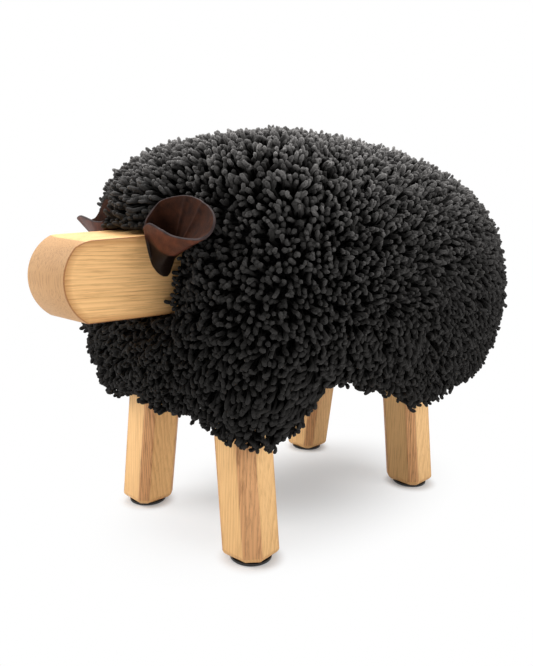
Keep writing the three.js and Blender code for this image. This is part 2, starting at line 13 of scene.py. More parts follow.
import bmesh
import bpy
import numpy as np
from bpy.types import Material, Node, NodeSocket, NodeTree, Object
from mathutils import Matrix, Vector
from mathutils.bvhtree import BVHTree


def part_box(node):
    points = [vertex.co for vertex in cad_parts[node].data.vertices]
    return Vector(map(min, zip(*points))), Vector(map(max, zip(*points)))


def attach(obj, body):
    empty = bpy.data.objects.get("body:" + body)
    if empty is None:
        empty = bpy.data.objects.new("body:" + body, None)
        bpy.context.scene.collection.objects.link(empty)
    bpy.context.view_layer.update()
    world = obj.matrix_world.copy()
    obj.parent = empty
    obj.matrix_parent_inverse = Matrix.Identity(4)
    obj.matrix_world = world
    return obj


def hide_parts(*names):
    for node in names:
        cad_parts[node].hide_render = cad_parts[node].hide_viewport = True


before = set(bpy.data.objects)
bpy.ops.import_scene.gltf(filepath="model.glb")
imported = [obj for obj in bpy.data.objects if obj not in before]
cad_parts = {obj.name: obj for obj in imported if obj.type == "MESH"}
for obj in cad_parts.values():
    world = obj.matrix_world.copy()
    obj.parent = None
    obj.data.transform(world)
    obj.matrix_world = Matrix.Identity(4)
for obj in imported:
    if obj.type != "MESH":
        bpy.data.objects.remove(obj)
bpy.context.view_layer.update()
LOG = logging.getLogger("footstool")
ROOT = "root"
MATH = "ShaderNodeMath"
VECTOR = "ShaderNodeVectorMath"
READ = "GeometryNodeInputNamedAttribute"
STORE = "GeometryNodeStoreNamedAttribute"


class Axis(Enum):
    """The way that a piece's grain runs."""

    X = 0
    Y = 1
    Z = 2


class Slot(Enum):
    """The record's material slots."""

    OAK = "oak"
    STEEL = "steel"
    PLASTIC = "black_plastic"
    FOAM = "upholstery_foam"
    BACKING = "backing_cloth"
    FLEECE = "black_fleece"
    DUST_CLOTH = "dust_cloth"
    LEATHER = "brown_leather"


class Attribute(str, Enum):
    """Names of the values that the strands, the head's sides and the ears carry."""

    ROOT = "strand_root"
    TIP = "strand_tip"
    OUTWARD = "strand_outward"
    ARCH = "strand_arch"
    ALONG = "strand_along"
    TONE = "strand_tone"
    LOOSE = "strand_loose"
    EDGE_WEAR_AND_SHADE = "edge_wear_and_shade"
    FOLD_SHADE = "leather_fold_shade"


# Colours and node trees


def srgb(code: str) -> tuple[float, float, float, float]:
    """Turns an sRGB hex code into linear red, green, blue and alpha.

    Args:
        code: Six hex digits, such as "e9bc84".

    Returns:
        The linear colour, with alpha 1.
    """
    values = [int(code[at:at + 2], 16) / 255 for at in (0, 2, 4)]
    linear = [v / 12.92 if v <= 0.04045 else ((v + 0.055) / 1.055) ** 2.4 for v in values]
    return linear[0], linear[1], linear[2], 1.0


def add(tree: NodeTree, kind: str, inputs: dict[Any, Any] | tuple = (), operation: str = "",
        **settings: Any) -> Any:
    """Adds a node to a tree, sets it up and links it.

    Args:
        tree: The node tree.
        kind: The node's type name.
        inputs: A value, a socket, or a node whose first output is meant, for each input in order or by name.
        operation: What a math node does.
        **settings: The node's own settings.

    Returns:
        The new node.
    """
    node = tree.nodes.new(kind)
    if operation:
        node.operation = operation
    for name, value in settings.items():
        setattr(node, name, value)
    for key, value in (inputs if isinstance(inputs, dict) else dict(enumerate(inputs))).items():
        if isinstance(value, Node):
            value = next(socket for socket in value.outputs if socket.enabled)
        if isinstance(value, NodeSocket):
            tree.links.new(value, node.inputs[key])
        else:
            node.inputs[key].default_value = value
    return node


# Finishes


@dataclass(frozen=True)
class Finish:
    """A surface finish: what all the materials share."""

    name: str
    roughness: float = 0.6
    specular: float = 0.5

    def coat(self, material: Material) -> dict[Any, Any]:
        """Gives the shader's inputs beyond roughness and specular."""
        raise NotImplementedError

    def make(self) -> Material:
        """Builds the material.

        Returns:
            The finished material.
        """
        material = bpy.data.materials.new(self.name)
        material.use_nodes = True
        tree = material.node_tree
        tree.nodes.clear()
        inputs = {"Roughness": self.roughness, "Specular IOR Level": self.specular, **self.coat(material)}
        shader = add(tree, "ShaderNodeBsdfPrincipled", inputs)
        add(tree, "ShaderNodeOutputMaterial", {"Surface": shader})
        return material


@dataclass(frozen=True)
class Timber(Finish):
    """Light oak-like timber, planed and lacquered: growth layers, long fibre streaks and fine pores.

    The layers are nearly flat sheets across X, so a face along the grain shows long wavering
    streaks, and a face across the grain shows fine lines.
    """

    light: str = "f3c587"
    dark: str = "d09a58"
    pore: str = "a86c35"
    grain: Axis = Axis.Y
    layer_spacing: float = 0.0026
    layer_tilt: float = 0.6
    layer_start: float = 0.25
    waver_scale: float = 45.0
    waver: float = 4.0
    stretch: float = 0.045
    fibre_scale: float = 950.0
    fibre_roughness: float = 0.68
    fibre_band: tuple[float, float] = (0.46, 0.70)
    fibre_depth: float = 0.5
    cloud_scale: float = 60.0
    cloud_band: tuple[float, float] = (0.3, 0.7)
    least_layers: float = 0.1
    layers: float = 0.45
    # How much darker the edges grow: partly rubbed wear, partly painted shade.
    wear_and_shade: float = 0.38
    relief: float = 0.16
    relief_height: float = 0.0004

    def coat(self, material: Material) -> dict[Any, Any]:
        """Mixes layers, streaks and pores, and raises the fibres a little. See Finish.coat."""
        tree = material.node_tree
        place = add(tree, "ShaderNodeTexCoord").outputs["Object"]
        long_scale = [1.0, 1.0, 1.0]
        long_scale[self.grain.value] = self.stretch
        stretched = add(tree, "ShaderNodeMapping", {"Vector": place, "Scale": tuple(long_scale)})
        drift = add(tree, "ShaderNodeTexNoise",
                    {"Vector": stretched, "Scale": self.waver_scale, "Detail": 3.0}).outputs["Fac"]
        apart = add(tree, "ShaderNodeSeparateXYZ", {"Vector": place})
        across = add(tree, MATH, (apart.outputs["X"], 1 / self.layer_spacing), "MULTIPLY")
        tilt_from = apart.outputs["Z" if self.grain is Axis.Y else "Y"]
        tilt = add(tree, MATH, (tilt_from, self.layer_tilt / self.layer_spacing, across), "MULTIPLY_ADD")
        phase = add(tree, MATH, (drift, self.waver, tilt), "MULTIPLY_ADD")
        saw = add(tree, MATH, (phase,), "FRACT")
        layer = add(tree, "ShaderNodeMapRange", {"Value": saw, "From Min": self.layer_start},
                    interpolation_type="SMOOTHSTEP")
        streak = add(tree, "ShaderNodeTexNoise",
                     {"Vector": stretched, "Scale": self.fibre_scale, "Detail": 4.0,
                      "Roughness": self.fibre_roughness}).outputs["Fac"]
        cloud = add(tree, "ShaderNodeTexNoise",
                    {"Vector": stretched, "Scale": self.cloud_scale, "Detail": 3.0}).outputs["Fac"]
        low, high = self.cloud_band
        soft = add(tree, "ShaderNodeMapRange", {"Value": cloud, "From Min": low, "From Max": high,
                                                "To Min": self.least_layers, "To Max": self.layers})
        amount = add(tree, MATH, (layer, soft), "MULTIPLY")
        base = add(tree, "ShaderNodeMix", {0: amount, 6: srgb(self.light), 7: srgb(self.dark)},
                   data_type="RGBA")
        low, high = self.fibre_band
        fibre = add(tree, "ShaderNodeMapRange",
                    {"Value": streak, "From Min": low, "From Max": high, "To Max": self.fibre_depth},
                    interpolation_type="SMOOTHSTEP")
        grained = add(tree, "ShaderNodeMix", {0: fibre, 6: base.outputs[2], 7: srgb(self.pore)},
                      data_type="RGBA")
        # Darker towards the edges of each face: partly rubbed wear, partly painted shade.
        near_edge = add(tree, "ShaderNodeAttribute", attribute_name=Attribute.EDGE_WEAR_AND_SHADE.value).outputs["Fac"]
        browned = add(tree, MATH, (near_edge, self.wear_and_shade), "MULTIPLY")
        final = add(tree, "ShaderNodeMix", {0: browned, 6: grained.outputs[2], 7: srgb(self.pore)},
                    data_type="RGBA")
        bump = add(tree, "ShaderNodeBump", {"Height": streak, "Strength": self.relief,
                                            "Distance": self.relief_height})
        return {"Base Color": final.outputs[2], "Normal": bump, "IOR": 1.5}


@dataclass(frozen=True)
class FeltStrand(Finish):
    """Felted wool strand: matt, dark and fuzzy, with painted shade towards the roots and on the chest under
    the head, and painted top light on the upper tips.
    """

    # root is the colour of the painted shade deep in the pile, and tip the colour of the painted top light on
    # the upper tips.
    root: str = "1b1a19"
    tip: str = "b4b1af"
    sheen: float = 0.04
    sheen_tint: str = "c9c4c0"
    fuzz_scale: float = 620.0
    fuzz_band: tuple[float, float] = (0.3, 0.7)
    fuzz_tones: tuple[float, float] = (0.35, 1.2)
    fuzz_height: float = 0.0008
    # Painted shade: from this band along the strand down to the root, the colour darkens where the strands
    # shade each other.
    root_shade_band: tuple[float, float] = (0.5, 1.0)
    # Painted top light: the tips grow lighter with height, from the first level to the second.
    top_light_levels: tuple[float, float] = (0.12, 0.385)
    top_light_power: float = 3.7
    least_top_light: float = 0.085
    least_tone: float = 0.04
    # Painted shadow of the head: in front of this span and below the top band, the chest keeps a darker
    # colour.
    chest: tuple[float, float] = (-0.20, -0.12)
    chest_shadow_share: float = 0.4
    chest_shadow_top: tuple[float, float] = (0.27, 0.35)

    def coat(self, material: Material) -> dict[Any, Any]:
        """Colours by place along the strand and by strand, with fuzz as bump and sheen, and paints shade
        towards the root, shadow on the chest and top light high up. See Finish.coat.
        """
        tree = material.node_tree
        along = add(tree, "ShaderNodeAttribute", attribute_name=Attribute.ALONG.value).outputs["Fac"]
        tone = add(tree, "ShaderNodeAttribute", attribute_name=Attribute.TONE.value).outputs["Fac"]
        place = add(tree, "ShaderNodeTexCoord").outputs["Object"]
        fuzz = add(tree, "ShaderNodeTexNoise", {"Vector": place, "Scale": self.fuzz_scale, "Detail": 4.0,
                                                "Roughness": 0.75}).outputs["Fac"]
        # Painted shade: the colour darkens from the tip towards the root.
        low, high = self.root_shade_band
        lift = add(tree, "ShaderNodeMapRange", {"Value": along, "From Min": low, "From Max": high},
                   interpolation_type="SMOOTHSTEP")
        apart = add(tree, "ShaderNodeSeparateXYZ", {"Vector": place})
        height = apart.outputs["Z"]
        # Painted top light: lighter higher up.
        low, high = self.top_light_levels
        rise = add(tree, "ShaderNodeMapRange", {"Value": height, "From Min": low, "From Max": high})
        top_light_curve = add(tree, MATH, (rise, self.top_light_power), "POWER")
        painted_top_light = add(tree, "ShaderNodeMapRange", {"Value": top_light_curve, "To Min": self.least_top_light})
        # Painted shadow of the head on the chest, which fades out higher up.
        low, high = self.chest
        behind = add(tree, "ShaderNodeMapRange", {"Value": apart.outputs["Y"], "From Min": low,
                                                  "From Max": high, "To Min": self.chest_shadow_share})
        low, high = self.chest_shadow_top
        above = add(tree, "ShaderNodeMapRange", {"Value": height, "From Min": low, "From Max": high})
        unshaded = add(tree, MATH, (behind, above), "MAXIMUM")
        painted_light_share = add(tree, MATH, (painted_top_light, unshaded), "MULTIPLY")
        own = add(tree, "ShaderNodeMapRange", {"Value": tone, "To Min": self.least_tone, "To Max": painted_light_share})
        amount = add(tree, MATH, (lift, own), "MULTIPLY")
        (low, high), (dull, bright) = self.fuzz_band, self.fuzz_tones
        speckle = add(tree, "ShaderNodeMapRange", {"Value": fuzz, "From Min": low, "From Max": high,
                                                   "To Min": dull, "To Max": bright})
        mixed = add(tree, MATH, (amount, speckle), "MULTIPLY")
        colour = add(tree, "ShaderNodeMix", {0: mixed, 6: srgb(self.root), 7: srgb(self.tip)},
                     data_type="RGBA")
        bump = add(tree, "ShaderNodeBump", {"Height": fuzz, "Strength": 0.8, "Distance": self.fuzz_height})
        return {"Base Color": colour.outputs[2], "Normal": bump, "Sheen Weight": self.sheen,
                "Sheen Roughness": 0.45, "Sheen Tint": srgb(self.sheen_tint)}


@dataclass(frozen=True)
class Leather(Finish):
    """Vegetable-tanned leather: mottled, with a fine pebbled grain, and painted shade where it folds in
    beside the head.
    """

    light: str = "5e3120"
    dark: str = "3b1d12"
    # Painted shade: the colour in the fold beside the head, under the lip.
    fold_shadow: str = "180c07"
    mottle_scale: float = 120.0
    mottle_band: tuple[float, float] = (0.32, 0.68)
    pebble: float = 0.0011
    depth: float = 0.0003

    def coat(self, material: Material) -> dict[Any, Any]:
        """Mottles the colour, paints the fold's shade and presses the grain in. See Finish.coat."""
        tree = material.node_tree
        place = add(tree, "ShaderNodeTexCoord").outputs["Object"]
        mottle = add(tree, "ShaderNodeTexNoise", {"Vector": place, "Scale": self.mottle_scale, "Detail": 5.0,
                                                  "Roughness": 0.6}).outputs["Fac"]
        low, high = self.mottle_band
        spread = add(tree, "ShaderNodeMapRange", {"Value": mottle, "From Min": low, "From Max": high})
        mottled = add(tree, "ShaderNodeMix", {0: spread, 6: srgb(self.dark), 7: srgb(self.light)},
                      data_type="RGBA")
        # Painted shade in the fold beside the head, which the lip overhangs.
        fold = add(tree, "ShaderNodeAttribute", attribute_name=Attribute.FOLD_SHADE.value).outputs["Fac"]
        colour = add(tree, "ShaderNodeMix", {0: fold, 6: mottled.outputs[2], 7: srgb(self.fold_shadow)},
                     data_type="RGBA")
        grain = add(tree, "ShaderNodeTexVoronoi", {"Vector": place, "Scale": 1 / self.pebble},
                    feature="SMOOTH_F1")
        bump = add(tree, "ShaderNodeBump", {"Height": grain.outputs["Distance"], "Strength": 0.45,
                                            "Distance": self.depth})
        return {"Base Color": colour.outputs[2], "Normal": bump, "IOR": 1.45}


@dataclass(frozen=True)
class Woven(Finish):
    """Dark cloth, with a plain weave of given thread spacing."""

    light: str = "262525"
    dark: str = "0e0e0e"
    thread: float = 0.0009
    thread_height: float = 0.0003

    def coat(self, material: Material) -> dict[Any, Any]:
        """Crosses two sets of threads in colour and in height. See Finish.coat."""
        tree = material.node_tree
        place = add(tree, "ShaderNodeTexCoord").outputs["Object"]
        turns = 0.5 / self.thread
        bands = [add(tree, "ShaderNodeTexWave",
                     {"Vector": place, "Scale": turns / math.pi, "Distortion": 0.6},
                     bands_direction=way) for way in ("X", "Y", "Z")]
        pair = add(tree, MATH, (bands[0].outputs["Fac"], bands[1].outputs["Fac"]), "MAXIMUM")
        weave = add(tree, MATH, (pair, bands[2].outputs["Fac"]), "MULTIPLY")
        colour = add(tree, "ShaderNodeMix", {0: weave, 6: srgb(self.dark), 7: srgb(self.light)},
                     data_type="RGBA")
        bump = add(tree, "ShaderNodeBump", {"Height": weave, "Strength": 0.5, "Distance": self.thread_height})
        return {"Base Color": colour.outputs[2], "Normal": bump, "Sheen Weight": 0.15}


@dataclass(frozen=True)
class Moulded(Finish):
    """Moulded plastic or plated metal: an even colour with a fine unevenness."""

    light: str = "1d1d1f"
    dark: str = "121213"
    metal: float = 0.0
    unevenness: float = 260.0
    relief_height: float = 0.0002

    def coat(self, material: Material) -> dict[Any, Any]:
        """Varies colour and height a little. See Finish.coat."""
        tree = material.node_tree
        place = add(tree, "ShaderNodeTexCoord").outputs["Object"]
        cloud = add(tree, "ShaderNodeTexNoise", {"Vector": place, "Scale": self.unevenness, "Detail": 4.0})
        colour = add(tree, "ShaderNodeMix",
                     {0: cloud.outputs["Fac"], 6: srgb(self.dark), 7: srgb(self.light)}, data_type="RGBA")
        bump = add(tree, "ShaderNodeBump", {"Height": cloud.outputs["Fac"], "Strength": 0.2,
                                            "Distance": self.relief_height})
        return {"Base Color": colour.outputs[2], "Normal": bump, "Metallic": self.metal}


@dataclass(frozen=True)
class Palette:
    """Every finish of the footstool, each made once."""

    # Oak planed along the grain and lacquered: honey-coloured, silky, with long soft streaks.
    head_oak: Material = field(default_factory=Timber(
        "oak_along_the_head", 0.55, 0.25, light="fbc98a", dark="cf9451", grain=Axis.Y, wear_and_shade=0.6,
        layer_spacing=0.0021, layers=0.56, stretch=0.03, fibre_scale=900.0, fibre_depth=0.52).make)
    # Oak sawn and sanded across the grain: it drinks the lacquer, so it is browner, with short marks.
    end_oak: Material = field(default_factory=Timber(
        "oak_end_grain", 0.6, 0.3, light="cb9f70", dark="a97c4c", pore="754a26", grain=Axis.Z,
        layer_spacing=0.0017).make)
    # Corners rubbed down by the sander: a thin, darker and shinier line round each face, its darkness partly
    # painted shade.
    edge_oak: Material = field(default_factory=Timber(
        "oak_worn_and_shaded_edge", 0.5, 0.35, light="b27a48", dark="8a5a34", pore="6b4020", grain=Axis.Y).make)
    # Oak planed along the grain and lacquered: pale, with fine upright streaks.
    leg_oak: Material = field(default_factory=Timber(
        "oak_along_the_legs", 0.52, 0.3, grain=Axis.Z, light="fbcb8c", dark="dba162", pore="c08850",
        layers=0.6, layer_spacing=0.0030, fibre_scale=800.0, fibre_depth=0.42, wear_and_shade=0.28).make)
    # The same timber planed at an angle to its layers: darker, with broad brown stripes.
    chamfer_oak: Material = field(default_factory=Timber(
        "oak_planed_chamfer", 0.55, 0.35, grain=Axis.Z, light="f0b780", dark="bf8350", pore="9a663c",
        layers=0.95, layer_spacing=0.0034, fibre_scale=420.0, fibre_depth=0.7, wear_and_shade=0.1).make)
    # Sawn oak without lacquer, inside the stool: dull and a little rough.
    block_oak: Material = field(default_factory=Timber("oak_unfinished", 0.75, 0.3, grain=Axis.Z).make)
    # Rotary-cut birch plywood, unfinished: pale, dry and dull.
    plywood: Material = field(default_factory=Timber(
        "plywood_raw", 0.8, 0.3, light="dcbc8e", dark="b58d5c", pore="8a6a44", grain=Axis.Y).make)
    # Wool rubbed into felted cords: nearly black and matt, with a fuzz; painted shade darkens the roots and
    # the chest under the head, and painted top light greys the upper tips.
    strand: Material = field(default_factory=FeltStrand("felted_wool_strand", 0.85, 0.06).make)
    # Plain-woven cotton, dyed black: matt, with threads that can just be seen.
    backing: Material = field(default_factory=Woven("woven_backing_cloth", 0.95, 0.2).make)
    # Thin woven dust cloth: black, flat, with a faint shine on its threads.
    dust_cloth: Material = field(default_factory=Woven(
        "black_dust_cloth", 0.9, 0.25, light="1c1c1c", dark="0c0c0c", thread=0.0006).make)
    # Leather's grain side, tanned and waxed: a warm mottled brown with soft broad highlights.
    ear_outer: Material = field(default_factory=Leather("leather_grain_side", 0.52, 0.24).make)
    # Leather's flesh side, left raw: darker, napped, without highlights.
    ear_inner: Material = field(default_factory=Leather(
        "leather_flesh_side", 0.8, 0.12, light="402214", dark="22110b", pebble=0.0007, depth=0.0004).make)
    # Leather cut with a knife: a grey-brown, fibrous line round the rim.
    ear_edge: Material = field(default_factory=Leather(
        "leather_cut_edge", 0.75, 0.2, light="443736", dark="241c1c", pebble=0.0005).make)
    # Injection-moulded polyethylene: even black with a low, soft shine.
    glide: Material = field(default_factory=Moulded("black_moulded_plastic", 0.45, 0.5).make)
    # Steel, turned or pressed, then zinc-plated: light grey metal with a satin shine.
    zinc: Material = field(default_factory=Moulded(
        "zinc_plated_steel", 0.35, 0.5, light="b9bbbd", dark="97999b", metal=1.0).make)
    # Brass, stamped and tumbled: warm yellow metal with a satin shine.
    brass: Material = field(default_factory=Moulded(
        "satin_brass", 0.38, 0.5, light="c19c55", dark="9c7a3c", metal=1.0).make)
    # Cut foam under its fibre wrap: cream, without any shine, with fine open cells.
    foam: Material = field(default_factory=Moulded(
        "upholstery_foam_and_wadding", 0.95, 0.2, light="e6e2d4", dark="cfc8ae", unevenness=700.0).make)


# Meshes


def mesh_object(name: str, points: Sequence[Any], faces: Sequence[Sequence[int]]) -> Object:
    """Makes an object at the origin from points and faces.

    Args:
        name: The object's name.
        points: Vertex places.
        faces: Vertex numbers of each face, counter-clockwise from outside.

    Returns:
        The new object, linked to the scene.
    """
    mesh = bpy.data.meshes.new(name)
    mesh.from_pydata([tuple(map(float, point)) for point in points], [], [list(face) for face in faces])
    mesh.validate()
    mesh.update()
    made = bpy.data.objects.new(name, mesh)
    bpy.context.scene.collection.objects.link(made)
    return made


def object_of(shape: bmesh.types.BMesh, name: str, *materials: Material) -> Object:
    """Turns a finished bmesh into an object at the origin.

    Args:
        shape: The bmesh, which is freed.
        name: The object's name.
        *materials: Its materials, in the order of its faces' material numbers.

    Returns:
        The new object, linked to the scene.
    """
    mesh = bpy.data.meshes.new(name)
    shape.to_mesh(mesh)
    shape.free()
    made = bpy.data.objects.new(name, mesh)
    bpy.context.scene.collection.objects.link(made)
    for material in materials:
        mesh.materials.append(material)
    return made


def soften(shape: bmesh.types.BMesh, edges: Sequence[bmesh.types.BMEdge], width: float, steps: int = 3,
           roundness: float = 0.5, material: int = 0) -> None:
    """Takes edges off with a small rounded bevel.

    Args:
        shape: The bmesh.
        edges: The edges.
        width: The bevel's width on each face.
        steps: Its steps.
        roundness: Its profile, where 0.5 is round.
        material: The new faces' material number.
    """
    bmesh.ops.bevel(shape, geom=edges, offset=width, segments=steps, profile=roundness, affect="EDGES",
                    material=material)


def wear_and_shade(shape: bmesh.types.BMesh, marked: Sequence[bmesh.types.BMFace],
            flats: Sequence[bmesh.types.BMFace], width: float) -> None:
    """Marks the rims of flat faces, so that their finish darkens towards the edges: partly rubbed wear,
    partly painted shade.

    Args:
        shape: The bmesh.
        marked: The faces whose corners are burnished.
        flats: The flat faces, which are clean but for a rim.
        width: The rim's width.
    """
    layer = shape.verts.layers.float.new(Attribute.EDGE_WEAR_AND_SHADE.value)
    for face in marked:
        for vertex in face.verts:
            vertex[layer] = 1.0
    bmesh.ops.inset_individual(shape, faces=flats, thickness=width)
    for face in flats:
        for vertex in face.verts:
            vertex[layer] = 0.0


def finish_piece(piece: Object, slot: Slot, *nodes: str, angle: float = 40) -> Object:
    """Smooths a piece, fixes it to the root body and hides the CAD nodes that it stands for.

    Args:
        piece: The finished mesh object.
        slot: The record's slot that it belongs to; not used.
        *nodes: CAD nodes that it replaces.
        angle: Edges sharper than this many degrees stay sharp.

    Returns:
        The piece.
    """
    piece.data.shade_smooth()
    piece.data.set_sharp_from_angle(angle=math.radians(angle))
    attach(piece, ROOT)
    if nodes:
        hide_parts(*nodes)
    return piece


def ring_faces(rings: int, steps: int, closed: bool = True) -> list[list[int]]:
    """Quads that join successive rings of equally many points.

    Args:
        rings: How many rings there are.
        steps: Points in each ring.
        closed: True if each ring's last point joins its first.

    Returns:
        The faces, outward when rings are counter-clockwise about the way that they advance.
    """
    faces = []
    for ring in range(rings - 1):
        for step in range(steps if closed else steps - 1):
            after = (step + 1) % steps
            low, high = ring * steps, (ring + 1) * steps
            faces.append([low + step, low + after, high + after, high + step])
    return faces


def smooth_share(value: Any) -> Any:
    """Eases a share from 0 to 1, with flat ends.

    Args:
        value: The share, or an array of shares, from 0 to 1.

    Returns:
        The eased share or shares.
    """
    value = np.clip(value, 0, 1)
    return value * value * (3 - 2 * value)


@dataclass(frozen=True)
class Ramp:
    """A share that eases from 0 at one value to 1 at another, lower or higher."""

    start: float
    end: float

    def at(self, values: Any) -> Any:
        """Gives the eased share at a value, or at each value of an array."""
        return smooth_share((values - self.start) / (self.end - self.start))


def signed_power(values: np.ndarray, power: float) -> np.ndarray:
    """Raises numbers to a power and keeps their signs.

    Args:
        values: The numbers.
        power: The power.

    Returns:
        The raised numbers.
    """
    return np.sign(values) * np.abs(values) ** power


# Fleece


@dataclass(frozen=True)
class HemPlace:
    """The hem at one angle from the chest, as shares of the deepest drop and tuck."""

    angle: float
    drop: float
    tuck: float


@dataclass(frozen=True)
class Loaf:
    """The body's form over the tips of the pile, as the CAD part has it."""

    middle_y: float = 0.008
    half_width: float = 0.160
    chest_reach: float = 0.196
    rump_reach: float = 0.262
    waist: float = 0.220
    crown_rise: float = 0.169
    belly_drop: float = 0.175
    crown_fall: float = 0.02
    plan_power: float = 4.2
    crown_power: float = 2.63
    belly_power: float = 2.3
    board_underside: float = 0.170
    hem_drop: float = 0.064
    hem_tuck: float = 0.022
    hem: tuple[HemPlace, ...] = (
        HemPlace(0, 0.66, 0), HemPlace(16, 0.6, 0.2), HemPlace(37, 1, 0), HemPlace(60, 0.18, 1),
        HemPlace(71, 0.18, 0.9), HemPlace(80, 0.38, 0.8), HemPlace(93, 0.5, 0.7), HemPlace(122, 0.91, 0.45),
        HemPlace(142, 0.62, 0.2), HemPlace(180, 0.5, 0),
    )
    front_lobe: float = 37
    right_front_lobe: float = 0.85

    def hem_side(self, right: bool) -> list[HemPlace]:
        """Gives one side's hem, where the right side's front lobe hangs less deep.

        Args:
            right: True for the right side.

        Returns:
            The hem's places from the chest to the rump.
        """
        return [replace(place, drop=self.right_front_lobe)
                if right and place.angle == self.front_lobe else place
                for place in self.hem]

    def directions(self, turns: np.ndarray) -> tuple[np.ndarray, np.ndarray, np.ndarray]:
        """Gives shares and reaches of directions round the loaf.

        Args:
            turns: Turns from 0 at the chest to 1, by way of the left flank.

        Returns:
            The shares across and along, and the reach that the share along is of.
        """
        around = 2 * math.pi * turns
        across = signed_power(np.sin(around), 2 / self.plan_power)
        along = signed_power(-np.cos(around), 2 / self.plan_power)
        return across, along, np.where(along < 0, self.chest_reach, self.rump_reach)

    def even_turns(self, count: int) -> np.ndarray:
        """Finds turns that are evenly spaced along the loaf's outline.

        Args:
            count: How many turns.

        Returns:
            The turns, from 0 up to but not including 1.
        """
        turns = np.linspace(0, 1, 4001)
        across, along, reach = self.directions(turns)
        steps = np.hypot(np.diff(across * self.half_width), np.diff(along * reach))
        length = np.concatenate([[0], np.cumsum(steps)])
        return np.interp(np.arange(count) / count * length[-1], length, turns)

    def hem_values(self, across: np.ndarray, along: np.ndarray, reach: np.ndarray) -> tuple[Any, Any]:
        """Gives the hem's level and tuck in some directions.

        Args:
            across: Shares of the half width.
            along: Shares of the reach.
            reach: The reach in each direction.

        Returns:
            The levels that the tips hang to, and the tucks.
        """
        angle = np.degrees(np.abs(np.arctan2(across * self.half_width, -along * reach)))
        drop, tuck = np.zeros_like(angle), np.zeros_like(angle)
        for right in (False, True):
            places = self.hem_side(right)
            for low, high in zip(places, places[1:]):
                inside = (angle >= low.angle) & (angle <= high.angle) & ((across < 0) == right)
                share = smooth_share((angle - low.angle) / (high.angle - low.angle))
                drop = np.where(inside, low.drop + (high.drop - low.drop) * share, drop)
                tuck = np.where(inside, low.tuck + (high.tuck - low.tuck) * share, tuck)
        return self.board_underside - self.hem_drop * drop, self.hem_tuck * tuck

    def flank(self, turns: np.ndarray, level: np.ndarray, depth: Any) -> np.ndarray:
        """Points of the flank.

        Args:
            turns: Turns round the loaf.
            level: The height of each point.
            depth: How deep under the tips each point is.

        Returns:
            The points, one row each.
        """
        across, along, reach = self.directions(turns)
        hem, tuck = self.hem_values(across, along, reach)
        under = np.clip((self.waist - level) / self.belly_drop, 0, 1)
        full = (1 - under ** self.belly_power) ** (1 / self.belly_power)
        below = np.maximum(0, (self.waist - level) / (self.waist - hem))
        inward = depth + tuck * below ** 2
        return np.column_stack([across * (self.half_width * full - inward),
                                along * (reach * full - inward) + self.middle_y,
                                level])

    def crown(self, turns: np.ndarray, steepness: np.ndarray, depth: Any) -> np.ndarray:
        """Points of the upper half.

        Args:
            turns: Turns round the loaf.
            steepness: From 0 at the waist to 1 at the top.
            depth: How deep under the tips each point is.

        Returns:
            The points, one row each.
        """
        across, along, reach = self.directions(turns)
        inward = np.cos(steepness * math.pi / 2) ** (2 / self.crown_power)
        upward = np.sin(steepness * math.pi / 2) ** (2 / self.crown_power)
        y = along * (reach - depth) * inward
        rise = self.crown_rise - depth - self.crown_fall * y
        return np.column_stack([across * (self.half_width - depth) * inward,
                                y + self.middle_y,
                                self.waist + upward * rise])


@dataclass(frozen=True)
class StrandShape:
    """One strand of the pile, how closely the strands stand, and how they stray from their places.

    Scales of random shifts are features a metre: clumps are 45 and 17 mm across, and a strand's own
    shift differs from its neighbour's.
    """

    radius: float = 0.0021
    neck: float = 0.70
    knob: tuple[float, float] = (0.55, 0.90)
    cap_start: float = 0.98
    pitch: float = 0.0037
    density: float = 90000.0
    rings: int = 10
    sides: int = 5
    crowding: float = 1.85
    wide_scale: float = 22.0
    close_scale: float = 60.0
    clump: float = 0.0046
    own_scale: float = 430.0
    jitter: float = 0.0070
    curl_scale: float = 30.0
    curl_spread: float = 7.0
    curl_climb: float = 0.08
    curl: float = 0.0062
    lump_scale: float = 300.0
    lumps: float = 0.42
    lump_middle: float = 0.6
    uneven: float = 0.0050
    thickness: tuple[float, float] = (1.1, -0.2)
    flattening: float = 0.75
    wander: float = 2.6


